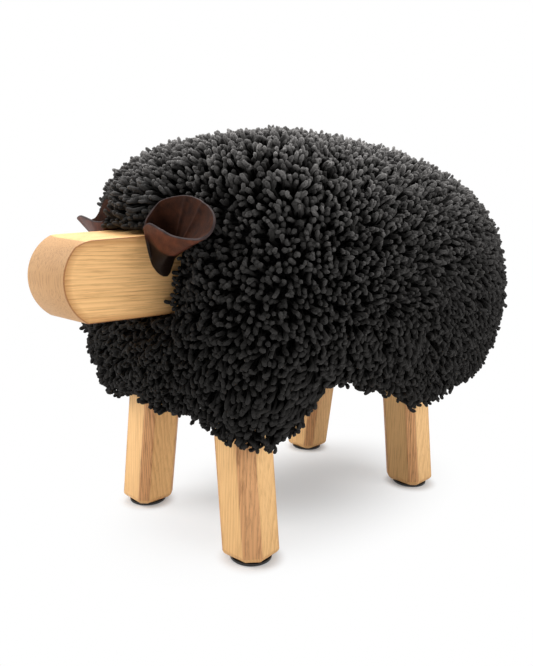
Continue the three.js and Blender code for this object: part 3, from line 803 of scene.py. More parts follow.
class StrandTree:
    """The node tree that grows strands on a mesh of tips."""

    def __init__(self, shape: StrandShape, material: Material, keep_out: "HeadBox") -> None:
        """Builds the tree.

        Args:
            shape: The strands' sizes.
            material: What they are made of.
            keep_out: The block that no strand enters.
        """
        self.shape = shape
        self.tree = bpy.data.node_groups.new("pile_strands", "GeometryNodeTree")
        face = self.tree.interface
        face.new_socket("Tips", in_out="INPUT", socket_type="NodeSocketGeometry")
        self.sockets = {
            name: face.new_socket(name, in_out="INPUT", socket_type=kind).identifier
            for name, kind in (("Seed", "NodeSocketInt"), ("Pitch", "NodeSocketFloat"),
                               ("Radius", "NodeSocketFloat"))
        }
        face.new_socket("Strands", in_out="OUTPUT", socket_type="NodeSocketGeometry")
        given = add(self.tree, "NodeGroupInput")
        curves = self.lines(self.scatter(given))
        self.clothe(self.bend(curves, keep_out), given, material)

    def scatter(self, given: Any) -> Any:
        """Scatters the strands' tips over the faces.

        Args:
            given: The tree's input node.

        Returns:
            The points' node, with tip, outward and tone stored.
        """
        tree = self.tree
        points = add(tree, "GeometryNodeDistributePointsOnFaces",
                     {"Mesh": given.outputs["Tips"], "Distance Min": given.outputs["Pitch"],
                      "Density Max": self.shape.density, "Seed": given.outputs["Seed"]},
                     distribute_method="POISSON")
        place = add(tree, "GeometryNodeInputPosition")
        tone = add(tree, "FunctionNodeRandomValue", {"Seed": given.outputs["Seed"]})
        placed = add(tree, STORE, {"Geometry": points, "Name": Attribute.TIP.value, "Value": place},
                     data_type="FLOAT_VECTOR")
        turned = add(tree, STORE, {"Geometry": placed, "Name": Attribute.OUTWARD.value,
                                   "Value": points.outputs["Normal"]},
                     data_type="FLOAT_VECTOR")
        return add(tree, STORE, {"Geometry": turned, "Name": Attribute.TONE.value, "Value": tone.outputs[1]})

    def lines(self, points: Any) -> Any:
        """Puts a straight line of unit length at every tip.

        Args:
            points: The points' node.

        Returns:
            The realized lines' node, with the place along each strand stored.
        """
        tree = self.tree
        line = add(tree, "GeometryNodeCurvePrimitiveLine", {"End": (0.0, 0.0, 1.0)})
        fine = add(tree, "GeometryNodeResampleCurve", {"Curve": line, "Count": self.shape.rings})
        each = add(tree, "GeometryNodeInstanceOnPoints", {"Points": points, "Instance": fine})
        real = add(tree, "GeometryNodeRealizeInstances", {"Geometry": each})
        factor = add(tree, "GeometryNodeSplineParameter").outputs["Factor"]
        rest = add(tree, MATH, (1.0, factor), "SUBTRACT")
        crowded = add(tree, MATH, (rest, self.shape.crowding), "POWER")
        along = add(tree, MATH, (1.0, crowded), "SUBTRACT")
        return add(tree, STORE, {"Geometry": real, "Name": Attribute.ALONG.value, "Value": along})

    def bend(self, curves: Any, keep_out: "HeadBox") -> Any:
        """Bends every line from its root to its tip: an arch outward, then the strays.

        Args:
            curves: The lines' node.
            keep_out: The block that no strand enters.

        Returns:
            The bent curves' node.
        """
        tree = self.tree
        root, tip, outward = (add(tree, READ, {"Name": name.value}, data_type="FLOAT_VECTOR")
                              for name in (Attribute.ROOT, Attribute.TIP, Attribute.OUTWARD))
        t, arch, tone = (add(tree, READ, {"Name": name.value})
                         for name in (Attribute.ALONG, Attribute.ARCH, Attribute.TONE))
        square = add(tree, MATH, (t, t), "MULTIPLY")
        reach = add(tree, VECTOR, (tip, root), "SUBTRACT")
        straight = add(tree, VECTOR, {0: reach, "Scale": t}, "SCALE")
        bow = add(tree, MATH, (t, square), "SUBTRACT")
        bowed = add(tree, MATH, (arch, bow), "MULTIPLY")
        longer = add(tree, MATH, (tone, 0.5), "SUBTRACT")
        uneven = add(tree, MATH, (longer, self.shape.uneven), "MULTIPLY")
        stretched = add(tree, MATH, (uneven, square), "MULTIPLY")
        out = add(tree, MATH, (bowed, stretched), "ADD")
        lifted = add(tree, VECTOR, {0: outward, "Scale": out}, "SCALE")
        raised = add(tree, VECTOR, (straight, lifted), "ADD")
        pull = add(tree, VECTOR, {0: self.pull(tip, outward), "Scale": square}, "SCALE")
        pulled = add(tree, VECTOR, (raised, pull), "ADD")
        whole = add(tree, VECTOR, (pulled, self.curl(tip, outward, t)), "ADD")
        place = add(tree, VECTOR, (root, whole), "ADD")
        bent = add(tree, "GeometryNodeSetPosition", {"Geometry": curves, "Position": place})
        here = add(tree, "GeometryNodeInputPosition")
        return add(tree, "GeometryNodeSetPosition",
                   {"Geometry": bent, "Position": self.pushed(here, keep_out)})

    def stray(self, place: Any, scale: float, reach: Any, detail: float = 0.0) -> Any:
        """A smooth random shift.

        Args:
            place: Where it is read.
            scale: How many features a metre.
            reach: How far it goes, about, each way.
            detail: How much finer detail.

        Returns:
            The shift's node.
        """
        tree = self.tree
        noise = add(tree, "ShaderNodeTexNoise", {"Vector": place, "Scale": scale, "Detail": detail})
        centred = add(tree, VECTOR, (noise.outputs["Color"], (0.5, 0.5, 0.5)), "SUBTRACT")
        unit = add(tree, VECTOR, {0: centred, "Scale": self.shape.wander}, "SCALE")
        return add(tree, VECTOR, {0: unit, "Scale": reach}, "SCALE")

    def pull(self, tip: Any, outward: Any) -> Any:
        """How far a tip strays over the skin, with its clumps and on its own.

        Args:
            tip: The tip's place.
            outward: The outward direction.

        Returns:
            The shift's node.
        """
        tree, shape = self.tree, self.shape
        wide = self.stray(tip, shape.wide_scale, shape.clump, 1.0)
        close = self.stray(tip, shape.close_scale, shape.clump)
        own = self.stray(tip, shape.own_scale, shape.jitter)
        clumped = add(tree, VECTOR, (wide, close), "ADD")
        way = add(tree, VECTOR, (own, clumped), "ADD")
        lift = add(tree, VECTOR, (way, outward), "DOT_PRODUCT").outputs["Value"]
        most = add(tree, MATH, (lift, shape.flattening), "MULTIPLY")
        back = add(tree, VECTOR, {0: outward, "Scale": most}, "SCALE")
        flat = add(tree, VECTOR, (way, back), "SUBTRACT")
        loose = add(tree, READ, {"Name": Attribute.LOOSE.value})
        return add(tree, VECTOR, {0: flat, "Scale": loose}, "SCALE")

    def curl(self, tip: Any, outward: Any, t: Any) -> Any:
        """How a strand curls along its length, more towards its tip.

        Args:
            tip: The tip's place.
            outward: The outward direction.
            t: The place along the strand.

        Returns:
            The shift's node.
        """
        tree = self.tree
        spread = add(tree, VECTOR, {0: tip, "Scale": self.shape.curl_spread}, "SCALE")
        climb = add(tree, MATH, (t, self.shape.curl_climb), "MULTIPLY")
        climbed = add(tree, VECTOR, {0: outward, "Scale": climb}, "SCALE")
        place = add(tree, VECTOR, (spread, climbed), "ADD")
        loose = add(tree, READ, {"Name": Attribute.LOOSE.value})
        free = add(tree, MATH, (t, loose), "MULTIPLY")
        reach = add(tree, MATH, (free, self.shape.curl), "MULTIPLY")
        return self.stray(place, self.shape.curl_scale, reach, 1.0)

    def pushed(self, place: Any, block: "HeadBox") -> Any:
        """Moves places out of a block, sideways or up and down, whichever is nearer.

        Args:
            place: The place's node.
            block: The block.

        Returns:
            The moved place's node.
        """
        tree = self.tree
        from_middle = add(tree, VECTOR, (place, block.centre), "SUBTRACT")
        ways = add(tree, "ShaderNodeSeparateXYZ", {"Vector": from_middle}).outputs
        deep = []
        for half, way in zip(block.half, ways):
            far = add(tree, MATH, (way,), "ABSOLUTE")
            deep.append(add(tree, MATH, (half, far), "SUBTRACT"))
        level = add(tree, MATH, (deep[0], deep[1]), "MINIMUM")
        least = add(tree, MATH, (level, deep[2]), "MINIMUM")
        inside = add(tree, MATH, (least, 0.0), "GREATER_THAN")
        nearer = add(tree, MATH, (deep[0], deep[2]), "LESS_THAN")
        sideways = add(tree, MATH, (inside, nearer), "MULTIPLY")
        upright = add(tree, MATH, (inside, sideways), "SUBTRACT")
        moves = {}
        for axis, chosen in ((0, sideways), (2, upright)):
            amount = add(tree, MATH, (chosen, deep[axis]), "MULTIPLY")
            side = add(tree, MATH, (ways[axis],), "SIGN")
            moves[axis] = add(tree, MATH, (amount, side), "MULTIPLY")
        move = add(tree, "ShaderNodeCombineXYZ", moves)
        return add(tree, VECTOR, (place, move), "ADD")

    def clothe(self, curves: Any, given: Any, material: Material) -> None:
        """Gives every curve its lumpy round thickness, a rounded tip and the material.

        Args:
            curves: The bent curves' node.
            given: The tree's input node.
            material: What the strands are made of.
        """
        tree, shape = self.tree, self.shape
        t, tone = (add(tree, READ, {"Name": name.value}) for name in (Attribute.ALONG, Attribute.TONE))
        length = add(tree, "GeometryNodeSplineLength").outputs["Length"]
        rest = add(tree, MATH, (1.0, t), "SUBTRACT")
        remaining = add(tree, MATH, (rest, length), "MULTIPLY")
        near_tip = add(tree, "ShaderNodeMapRange",
                       {"Value": remaining, "From Max": given.outputs["Radius"],
                        "To Min": shape.cap_start, "To Max": 0.0})
        squared = add(tree, MATH, (near_tip, 2.0), "POWER")
        round_off = add(tree, MATH, (1.0, squared), "SUBTRACT")
        cap = add(tree, MATH, (round_off,), "SQRT")
        low, high = shape.knob
        knob = add(tree, "ShaderNodeMapRange",
                   {"Value": t, "From Min": low, "From Max": high, "To Min": shape.neck},
                   interpolation_type="SMOOTHSTEP")
        here = add(tree, "GeometryNodeInputPosition")
        lump = add(tree, VECTOR, (self.stray(here, shape.lump_scale, 1.0),), "LENGTH").outputs["Value"]
        swell = add(tree, MATH, (lump, shape.lumps, 1.0 - shape.lump_middle * shape.lumps), "MULTIPLY_ADD")
        thickest, thinning = shape.thickness
        size = add(tree, MATH, (tone, thinning, thickest), "MULTIPLY_ADD")
        plain = add(tree, MATH, (given.outputs["Radius"], size), "MULTIPLY")
        ends = add(tree, MATH, (cap, knob), "MULTIPLY")
        shaped = add(tree, MATH, (ends, swell), "MULTIPLY")
        radius = add(tree, MATH, (plain, shaped), "MULTIPLY")
        ring = add(tree, "GeometryNodeCurvePrimitiveCircle", {"Resolution": shape.sides, "Radius": 1.0})
        tube = add(tree, "GeometryNodeCurveToMesh",
                   {"Curve": curves, "Profile Curve": ring, "Scale": radius, "Fill Caps": True})
        smooth = add(tree, "GeometryNodeSetShadeSmooth", {"Geometry": tube})
        real = add(tree, "GeometryNodeRealizeInstances", {"Geometry": smooth})
        dressed = add(tree, "GeometryNodeSetMaterial", {"Geometry": real, "Material": material})
        add(tree, "NodeGroupOutput", {"Strands": dressed})

    def grow(self, tips: Object, seed: int) -> Object:
        """Turns an object of tips into the strands that end there.

        Args:
            tips: The mesh that the tips lie on, with root and arch on its points.
            seed: The seed of the scatter.

        Returns:
            The same object, now a plain mesh of strands.
        """
        modifier = tips.modifiers.new("strands", "NODES")
        modifier.node_group = self.tree
        for name, value in {"Seed": seed, "Pitch": self.shape.pitch, "Radius": self.shape.radius}.items():
            modifier[self.sockets[name]] = value
        bpy.context.view_layer.update()
        depsgraph = bpy.context.evaluated_depsgraph_get()
        grown = bpy.data.meshes.new_from_object(tips.evaluated_get(depsgraph), depsgraph=depsgraph,
                                                preserve_all_data_layers=True)
        tips.modifiers.remove(modifier)
        tips.data = grown
        grown.name = tips.name
        for name in (Attribute.ROOT, Attribute.TIP, Attribute.OUTWARD, Attribute.ARCH, Attribute.LOOSE):
            layer = grown.attributes.get(name.value)
            if layer is not None:
                grown.attributes.remove(layer)
        return tips


@dataclass(frozen=True)
class HeadBox:
    """The head as a plain block with a margin, for keeping strands out of it."""

    half_width: float = 0.031
    half_height: float = 0.0350
    front: float = -0.270
    rear: float = -0.065
    middle_height: float = 0.2562
    margin: float = 0.0026

    @property
    def centre(self) -> tuple[float, float, float]:
        """The block's middle."""
        return 0.0, (self.front + self.rear) / 2, self.middle_height

    @property
    def half(self) -> tuple[float, float, float]:
        """Half of each side, with the margin."""
        return (self.half_width + self.margin, (self.rear - self.front) / 2 + self.margin,
                self.half_height + self.margin)


@dataclass(frozen=True)
class Hang:
    """How the strands stand at the top of the fleece and hang down its flanks."""

    stand: float = 0.003
    drop: float = 0.015
    start: float = 0.245
    rump_rise: float = 0.075
    band: float = 0.085
    rump: Ramp = Ramp(-0.01, 0.11)

    def share(self, points: np.ndarray) -> np.ndarray:
        """How much the strands hang, from 0 where they stand out to 1 low on the flanks."""
        start = self.start + self.rump_rise * self.rump.at(points[:, 1])
        return smooth_share((start - points[:, 2]) / self.band)

    def fall(self, points: np.ndarray) -> np.ndarray:
        """How far below its root each strand's tip lies."""
        return self.stand + self.drop * self.share(points)


@dataclass(frozen=True)
class Comb:
    """How the strands at the shoulders lean towards the head, along the skin."""

    ahead: tuple[float, float, float] = (0.0, -1.0, -0.15)
    flank: float = 0.009
    flank_along: Ramp = Ramp(0.10, -0.06)
    crown: float = 0.006

    def forward(self, way: np.ndarray) -> np.ndarray:
        """The way towards the head, along the skin.

        Args:
            way: The outward way at each place.

        Returns:
            The forward and slightly downward way at each place, with its outward part taken away.
        """
        out = way / np.linalg.norm(way, axis=1)[:, None]
        ahead = np.array(self.ahead)
        return ahead - out * (out @ ahead)[:, None]


@dataclass(frozen=True)
class Forelock:
    """The lock of strands between the ears, which falls forward over the head's top."""

    shift: tuple[float, float, float] = (0.0, -0.026, -0.008)
    root_share: float = 0.6
    middle: float = -0.005
    across: Ramp = Ramp(0.036, 0.024)
    above: Ramp = Ramp(0.276, 0.284)
    below: Ramp = Ramp(0.36, 0.31)
    along: Ramp = Ramp(-0.09, -0.14)

    def shifts(self, points: np.ndarray) -> np.ndarray:
        """How far each strand's tip falls forward.

        Args:
            points: The strands' roots.

        Returns:
            The shift of each tip.
        """
        beside = np.abs(points[:, 0] - self.middle)
        share = (self.across.at(beside) * self.above.at(points[:, 2]) * self.below.at(points[:, 2])
                 * self.along.at(points[:, 1]))
        return share[:, None] * np.array(self.shift)


@dataclass(frozen=True)
class Hollow:
    """The hollow that the head and the ears press into the chest."""

    half_width: float = 0.064
    half_height: float = 0.058
    depth: float = 0.017
    along: Ramp = Ramp(-0.12, -0.15)
    ear_depth: float = 0.011
    ear_across: Ramp = Ramp(0.130, 0.100)
    ear_above: Ramp = Ramp(0.262, 0.282)
    ear_below: Ramp = Ramp(0.345, 0.315)

    def depths(self, points: np.ndarray, middle_height: float) -> np.ndarray:
        """How deep the pile is pressed in.

        Args:
            points: Places on the skin.
            middle_height: The head's middle.

        Returns:
            The depth at each place.
        """
        near = np.hypot(points[:, 0] / self.half_width, (points[:, 2] - middle_height) / self.half_height)
        behind_ears = (self.ear_across.at(np.abs(points[:, 0])) * self.ear_above.at(points[:, 2])
                       * self.ear_below.at(points[:, 2]))
        return self.along.at(points[:, 1]) * np.maximum(self.depth * np.sqrt(np.clip(1 - near ** 2, 0, 1)),
                                                        self.ear_depth * behind_ears)


@dataclass(frozen=True)
class Beard:
    """The strands beside the head, which lie forward along its sides."""

    reach: float = 0.0075
    least_share: float = 0.4
    inner: Ramp = Ramp(-0.002, 0.0)
    outer: Ramp = Ramp(0.014, 0.006)
    ends: Ramp = Ramp(0.006, 0.0)

    def shifts(self, roots: np.ndarray, head: HeadBox, rear: float,
               chance: np.random.Generator) -> np.ndarray:
        """How far each strand lies forward, by its own amount.

        Args:
            roots: The strands' roots.
            head: The head's block.
            rear: Where the beard ends along the head.
            chance: The source of each strand's own amount.

        Returns:
            The shift of each tip.
        """
        beside = np.abs(roots[:, 0]) - head.half_width
        level = np.abs(roots[:, 2] - head.middle_height)
        near = self.inner.at(beside) * self.outer.at(beside)
        near *= self.ends.at(level - head.half_height) * (roots[:, 1] < rear)
        own = self.least_share + (1 - self.least_share) * chance.random(len(roots))
        return (self.reach * near * own)[:, None] * np.array([0.0, -1.0, 0.0])


@dataclass(frozen=True)
class Crest:
    """The fuller pile over the shoulders, behind the ears."""

    fullness: float = 0.007
    along: Ramp = Ramp(-0.02, -0.12)
    above: Ramp = Ramp(0.25, 0.30)
    full_above: Ramp = Ramp(0.285, 0.320)
    full_below: Ramp = Ramp(0.385, 0.345)

    def shoulder(self, points: np.ndarray) -> np.ndarray:
        """How much each place belongs to the shoulders, from 0 to 1."""
        return self.along.at(points[:, 1]) * self.above.at(points[:, 2])

    def fill(self, points: np.ndarray) -> np.ndarray:
        """How much further out the tips lie at each place."""
        filled = self.fullness * self.shoulder(points) * self.full_above.at(points[:, 2])
        return filled * self.full_below.at(points[:, 2])


@dataclass
class Fleece:
    """The shaggy cover: its backing cloth and the strands that grow on it, zone by zone."""

    palette: Palette
    ears: Sequence[Object]
    loaf: Loaf = field(default_factory=Loaf)
    strands: StrandShape = field(default_factory=StrandShape)
    head: HeadBox = field(default_factory=HeadBox)
    hang: Hang = field(default_factory=Hang)
    comb: Comb = field(default_factory=Comb)
    forelock: Forelock = field(default_factory=Forelock)
    hollow: Hollow = field(default_factory=Hollow)
    beard: Beard = field(default_factory=Beard)
    crest: Crest = field(default_factory=Crest)
    steps: int = 144
    under_rows: int = 3
    flank_rows: int = 16
    crown_rows: int = 26
    crown_crowding: float = 1.15
    under_lip: float = 0.009
    under_looseness: float = 0.45
    hem_raggedness: float = 0.0075
    hem_shortening: float = 0.55
    pile_droop: float = 0.015
    root_depth: float = 0.021
    tip_depth: float = 0.0006
    arch: float = 0.020
    least_arch: float = 0.15
    head_gap: float = 0.001
    ear_clearance: float = 0.0042
    ear_reach: float = 0.0035
    ear_zone: float = -0.10
    calm_gap: float = 0.002
    calm_reach: float = 0.016
    calm_looseness: float = 0.15
    least_length: float = 0.2
    sectors: int = 8
    crown_zone: float = 0.6
    hem_seed: int = 29
    scatter_seed: int = 11
    seed_step: int = 7
    margin_level: float = 0.1675
    margin_band: float = 0.0015
    gather_pitch: float = 0.008
    gather_depth: float = 0.0004
    gathers: int = 72

    def backing(self) -> Object:
        """Makes the backing cloth: the CAD shell's own form, finer, with gathers in its turned-in margin.

        Returns:
            The backing.
        """
        shape = bmesh.new()
        shape.from_mesh(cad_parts["cover_backing"].data)
        long = [edge for edge in shape.edges if edge.calc_length() > self.gather_pitch]
        bmesh.ops.subdivide_edges(shape, edges=long, cuts=2, use_grid_fill=True)
        for vertex in shape.verts:
            place = vertex.co
            if abs(place.z - self.margin_level) < self.margin_band:
                bearing = math.atan2(place.x, place.y)
                place.z -= self.gather_depth * (0.5 + 0.5 * math.sin(bearing * self.gathers)) ** 2
        piece = object_of(shape, "fleece_backing", self.palette.backing)
        return finish_piece(piece, Slot.BACKING, "cover_backing", angle=60)

    def pressed(self, points: np.ndarray) -> np.ndarray:
        """How far the head and the ears press the pile in at the chest, less where the forelock lies."""
        locked = np.linalg.norm(self.forelock.shifts(points), axis=1) / np.linalg.norm(self.forelock.shift)
        return self.hollow.depths(points, self.head.middle_height) * (1 - locked)

    def skins(self) -> tuple[np.ndarray, np.ndarray, np.ndarray, list[list[int]]]:
        """The strands' roots on the backing and their tips, point for point, and the faces between.

        Returns:
            The roots, the tips, how loose the strands may lie, and the quads.
        """
        turns = self.loaf.even_turns(self.steps)
        across, along, reach = self.loaf.directions(turns)
        pile_hem = self.loaf.hem_values(across, along, reach)[0]
        hem = pile_hem + self.pile_droop
        chance = np.random.default_rng(self.hem_seed)
        roots, tips = [], []
        for row in range(self.under_rows, 0, -1):
            inward = self.tip_depth + (self.root_depth - self.under_lip) * row / self.under_rows
            roots.append(self.loaf.flank(turns, hem, self.root_depth))
            tips.append(self.loaf.flank(turns, pile_hem + self.under_lip * row / self.under_rows, inward))
        for row in range(self.flank_rows):
            level = hem + (self.loaf.waist - hem) * row / self.flank_rows
            root = self.loaf.flank(turns, level, self.root_depth)
            fall = np.minimum(self.hang.fall(root), level - pile_hem - self.tip_depth)
            tip = self.loaf.flank(turns, level - fall, self.tip_depth + self.pressed(root))
            combed = self.comb.flank * self.comb.flank_along.at(root[:, 1])
            tip += self.comb.forward(tip - root) * combed[:, None] + self.forelock.shifts(root)
            ragged = self.hem_raggedness * (chance.random(self.steps) - self.hem_shortening)
            tip[:, 2] += ragged * smooth_share((pile_hem + self.hang.drop - tip[:, 2]) / self.hang.drop)
            tips.append(tip + self.beard.shifts(root, self.head, self.ear_zone, chance))
            roots.append(root)
        for row in range(self.crown_rows + 1):
            steepness = np.full(self.steps, (row / self.crown_rows) ** self.crown_crowding)
            root = self.loaf.crown(turns, steepness, self.root_depth)
            depth = self.tip_depth + self.pressed(root) - self.crest.fill(root)
            tip = self.loaf.crown(turns, steepness, depth)
            out = tip - root
            out /= np.linalg.norm(out, axis=1)[:, None]
            down = np.array([0.0, 0.0, -1.0]) + out * out[:, 2:3]
            tip += down * self.hang.fall(root)[:, None]
            combed = self.comb.crown * self.crest.shoulder(root)
            tip += self.comb.forward(out) * combed[:, None] + self.forelock.shifts(root)
            tips.append(tip + self.beard.shifts(root, self.head, self.ear_zone, chance))
            roots.append(root)
        root, tip = np.concatenate(roots), np.concatenate(tips)
        root = root + self.forelock.root_share * self.forelock.shifts(root)
        clear, loose = self.clear_of_ears(root, tip)
        loose[:self.under_rows * self.steps] *= self.under_looseness
        return root, clear, loose, ring_faces(len(roots), self.steps)

    def clear_of_ears(self, roots: np.ndarray, tips: np.ndarray) -> tuple[np.ndarray, np.ndarray]:
        """Draws back the tips that would lie in or beyond an ear, and calms those beside it.

        Args:
            roots: The strands' roots.
            tips: Their tips.

        Returns:
            The tips that stay behind the ears, and how loose each strand may lie, from 0 to 1.
        """
        clear, loose = tips.copy(), np.ones(len(tips))
        for ear in self.ears:
            data = ear.data
            tree = BVHTree.FromPolygons([v.co for v in data.vertices], [p.vertices for p in data.polygons])
            for index in np.flatnonzero(roots[:, 1] < self.ear_zone):
                nearest = tree.find_nearest(Vector(tips[index]))
                room = (nearest[3] - self.calm_gap) / self.calm_reach
                loose[index] = min(loose[index], max(self.calm_looseness, room))
                way = tips[index] - roots[index]
                length = float(np.linalg.norm(way))
                hit = tree.ray_cast(Vector(roots[index]), Vector(way), 2 * length)
                if hit[3] is not None:
                    share = min(1.0, max(self.least_length, (hit[3] - self.ear_clearance) / length))
                    clear[index] = roots[index] + way * share
                    loose[index] = self.calm_looseness
        return clear, loose

    def meets_ear(self, roots: np.ndarray, tips: np.ndarray) -> np.ndarray:
        """Finds the strands that would still run into an ear.

        Args:
            roots: The strands' roots.
            tips: Their tips.

        Returns:
            True for each strand that meets an ear before or just past its tip.
        """
        meets = np.zeros(len(roots), dtype=bool)
        for ear in self.ears:
            data = ear.data
            tree = BVHTree.FromPolygons([v.co for v in data.vertices], [p.vertices for p in data.polygons])
            for index in np.flatnonzero(roots[:, 1] < self.ear_zone):
                way = Vector(tips[index] - roots[index])
                hit = tree.ray_cast(Vector(roots[index]), way, way.length + self.ear_reach)
                meets[index] |= hit[3] is not None
        return meets

    def covered(self, roots: np.ndarray, tips: np.ndarray) -> np.ndarray:
        """Finds the strands that stand in the head or run into an ear.

        Args:
            roots: The strands' roots.
            tips: Their tips.

        Returns:
            True for each strand that has no room.
        """
        level = np.abs(roots[:, 2] - self.head.middle_height)
        in_head = ((np.abs(roots[:, 0]) < self.head.half_width + self.head_gap) & (roots[:, 1] < 0)
                   & (level < self.head.half_height + self.head_gap))
        return in_head | self.meets_ear(roots, tips)

    def grow(self) -> list[Object]:
        """Grows the strands, one object for each zone.

        Returns:
            The zones' objects.
        """
        tree = StrandTree(self.strands, self.palette.strand, self.head)
        roots, tips, loose, faces = self.skins()
        arch = self.arch * (self.least_arch + (1 - self.least_arch) * self.hang.share(roots))
        centres = np.array([roots[face].mean(0) for face in faces])
        keep = ~self.covered(centres, np.array([tips[face].mean(0) for face in faces]))
        bearing = np.degrees(np.arctan2(centres[:, 0], -(centres[:, 1] - self.loaf.middle_y))) % 360
        upper = centres[:, 2] > self.loaf.waist + self.crown_zone * self.loaf.crown_rise
        zones = []
        for level, name in ((False, "flank"), (True, "crown")):
            count = self.sectors // 2 if level else self.sectors
            for sector in range(count):
                mine = keep & (upper == level) & ((bearing // (360 / count)).astype(int) == sector)
                chosen = [faces[index] for index in np.flatnonzero(mine)]
                used = sorted({index for face in chosen for index in face})
                renumber = {old: new for new, old in enumerate(used)}
                zone = mesh_object(f"pile_{name}_{sector + 1}", tips[used],
                                   [[renumber[index] for index in face] for face in chosen])
                rooted = zone.data.attributes.new(Attribute.ROOT.value, "FLOAT_VECTOR", "POINT")
                rooted.data.foreach_set("vector", roots[used].astype(np.float32).ravel())
                for attribute, values in ((Attribute.ARCH, arch), (Attribute.LOOSE, loose)):
                    carried = zone.data.attributes.new(attribute.value, "FLOAT", "POINT")
                    carried.data.foreach_set("value", values[used].astype(np.float32))
                tree.grow(zone, seed=self.scatter_seed + self.seed_step * len(zones))
                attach(zone, ROOT)
                zones.append(zone)
        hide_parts("fleece_pile")
        return zones

    def build(self) -> list[Object]:
        """Makes the backing and the strands."""
        return [self.backing(), *self.grow()]


# Padding


@dataclass
class SeatPadding:
    """The foam and its wadding: one crowned pad, wrapped over the edge of the board."""

    palette: Palette
    loaf: Loaf = field(default_factory=Loaf)
    depth: float = 0.0250
    steps: int = 144
    crown_rows: int = 14
    base: float = 0.1885

    def build(self) -> Object:
        """Makes the pad.

        Returns:
            The pad, which stands for the foam and the wadding.
        """
        turns = self.loaf.even_turns(self.steps)
        rings = [self.loaf.flank(turns, np.full(self.steps, self.base), self.depth)]
        for row in range(self.crown_rows):
            rings.append(self.loaf.crown(turns, np.full(self.steps, row / self.crown_rows), self.depth))
        top = self.loaf.crown(np.zeros(1), np.ones(1), self.depth)
        bottom = np.array([[0.0, self.loaf.middle_y, self.base]])
        points = np.concatenate([*rings, top, bottom])
        faces = ring_faces(len(rings), self.steps)
        last = (len(rings) - 1) * self.steps
        for step in range(self.steps):
            after = (step + 1) % self.steps
            faces.append([last + step, last + after, len(points) - 2])
            faces.append([after, step, len(points) - 1])
        piece = mesh_object("seat_padding", points, faces)
        piece.data.materials.append(self.palette.foam)
        finish_piece(piece, Slot.FOAM, "foam_core", "wadding")
        return piece


# Timber


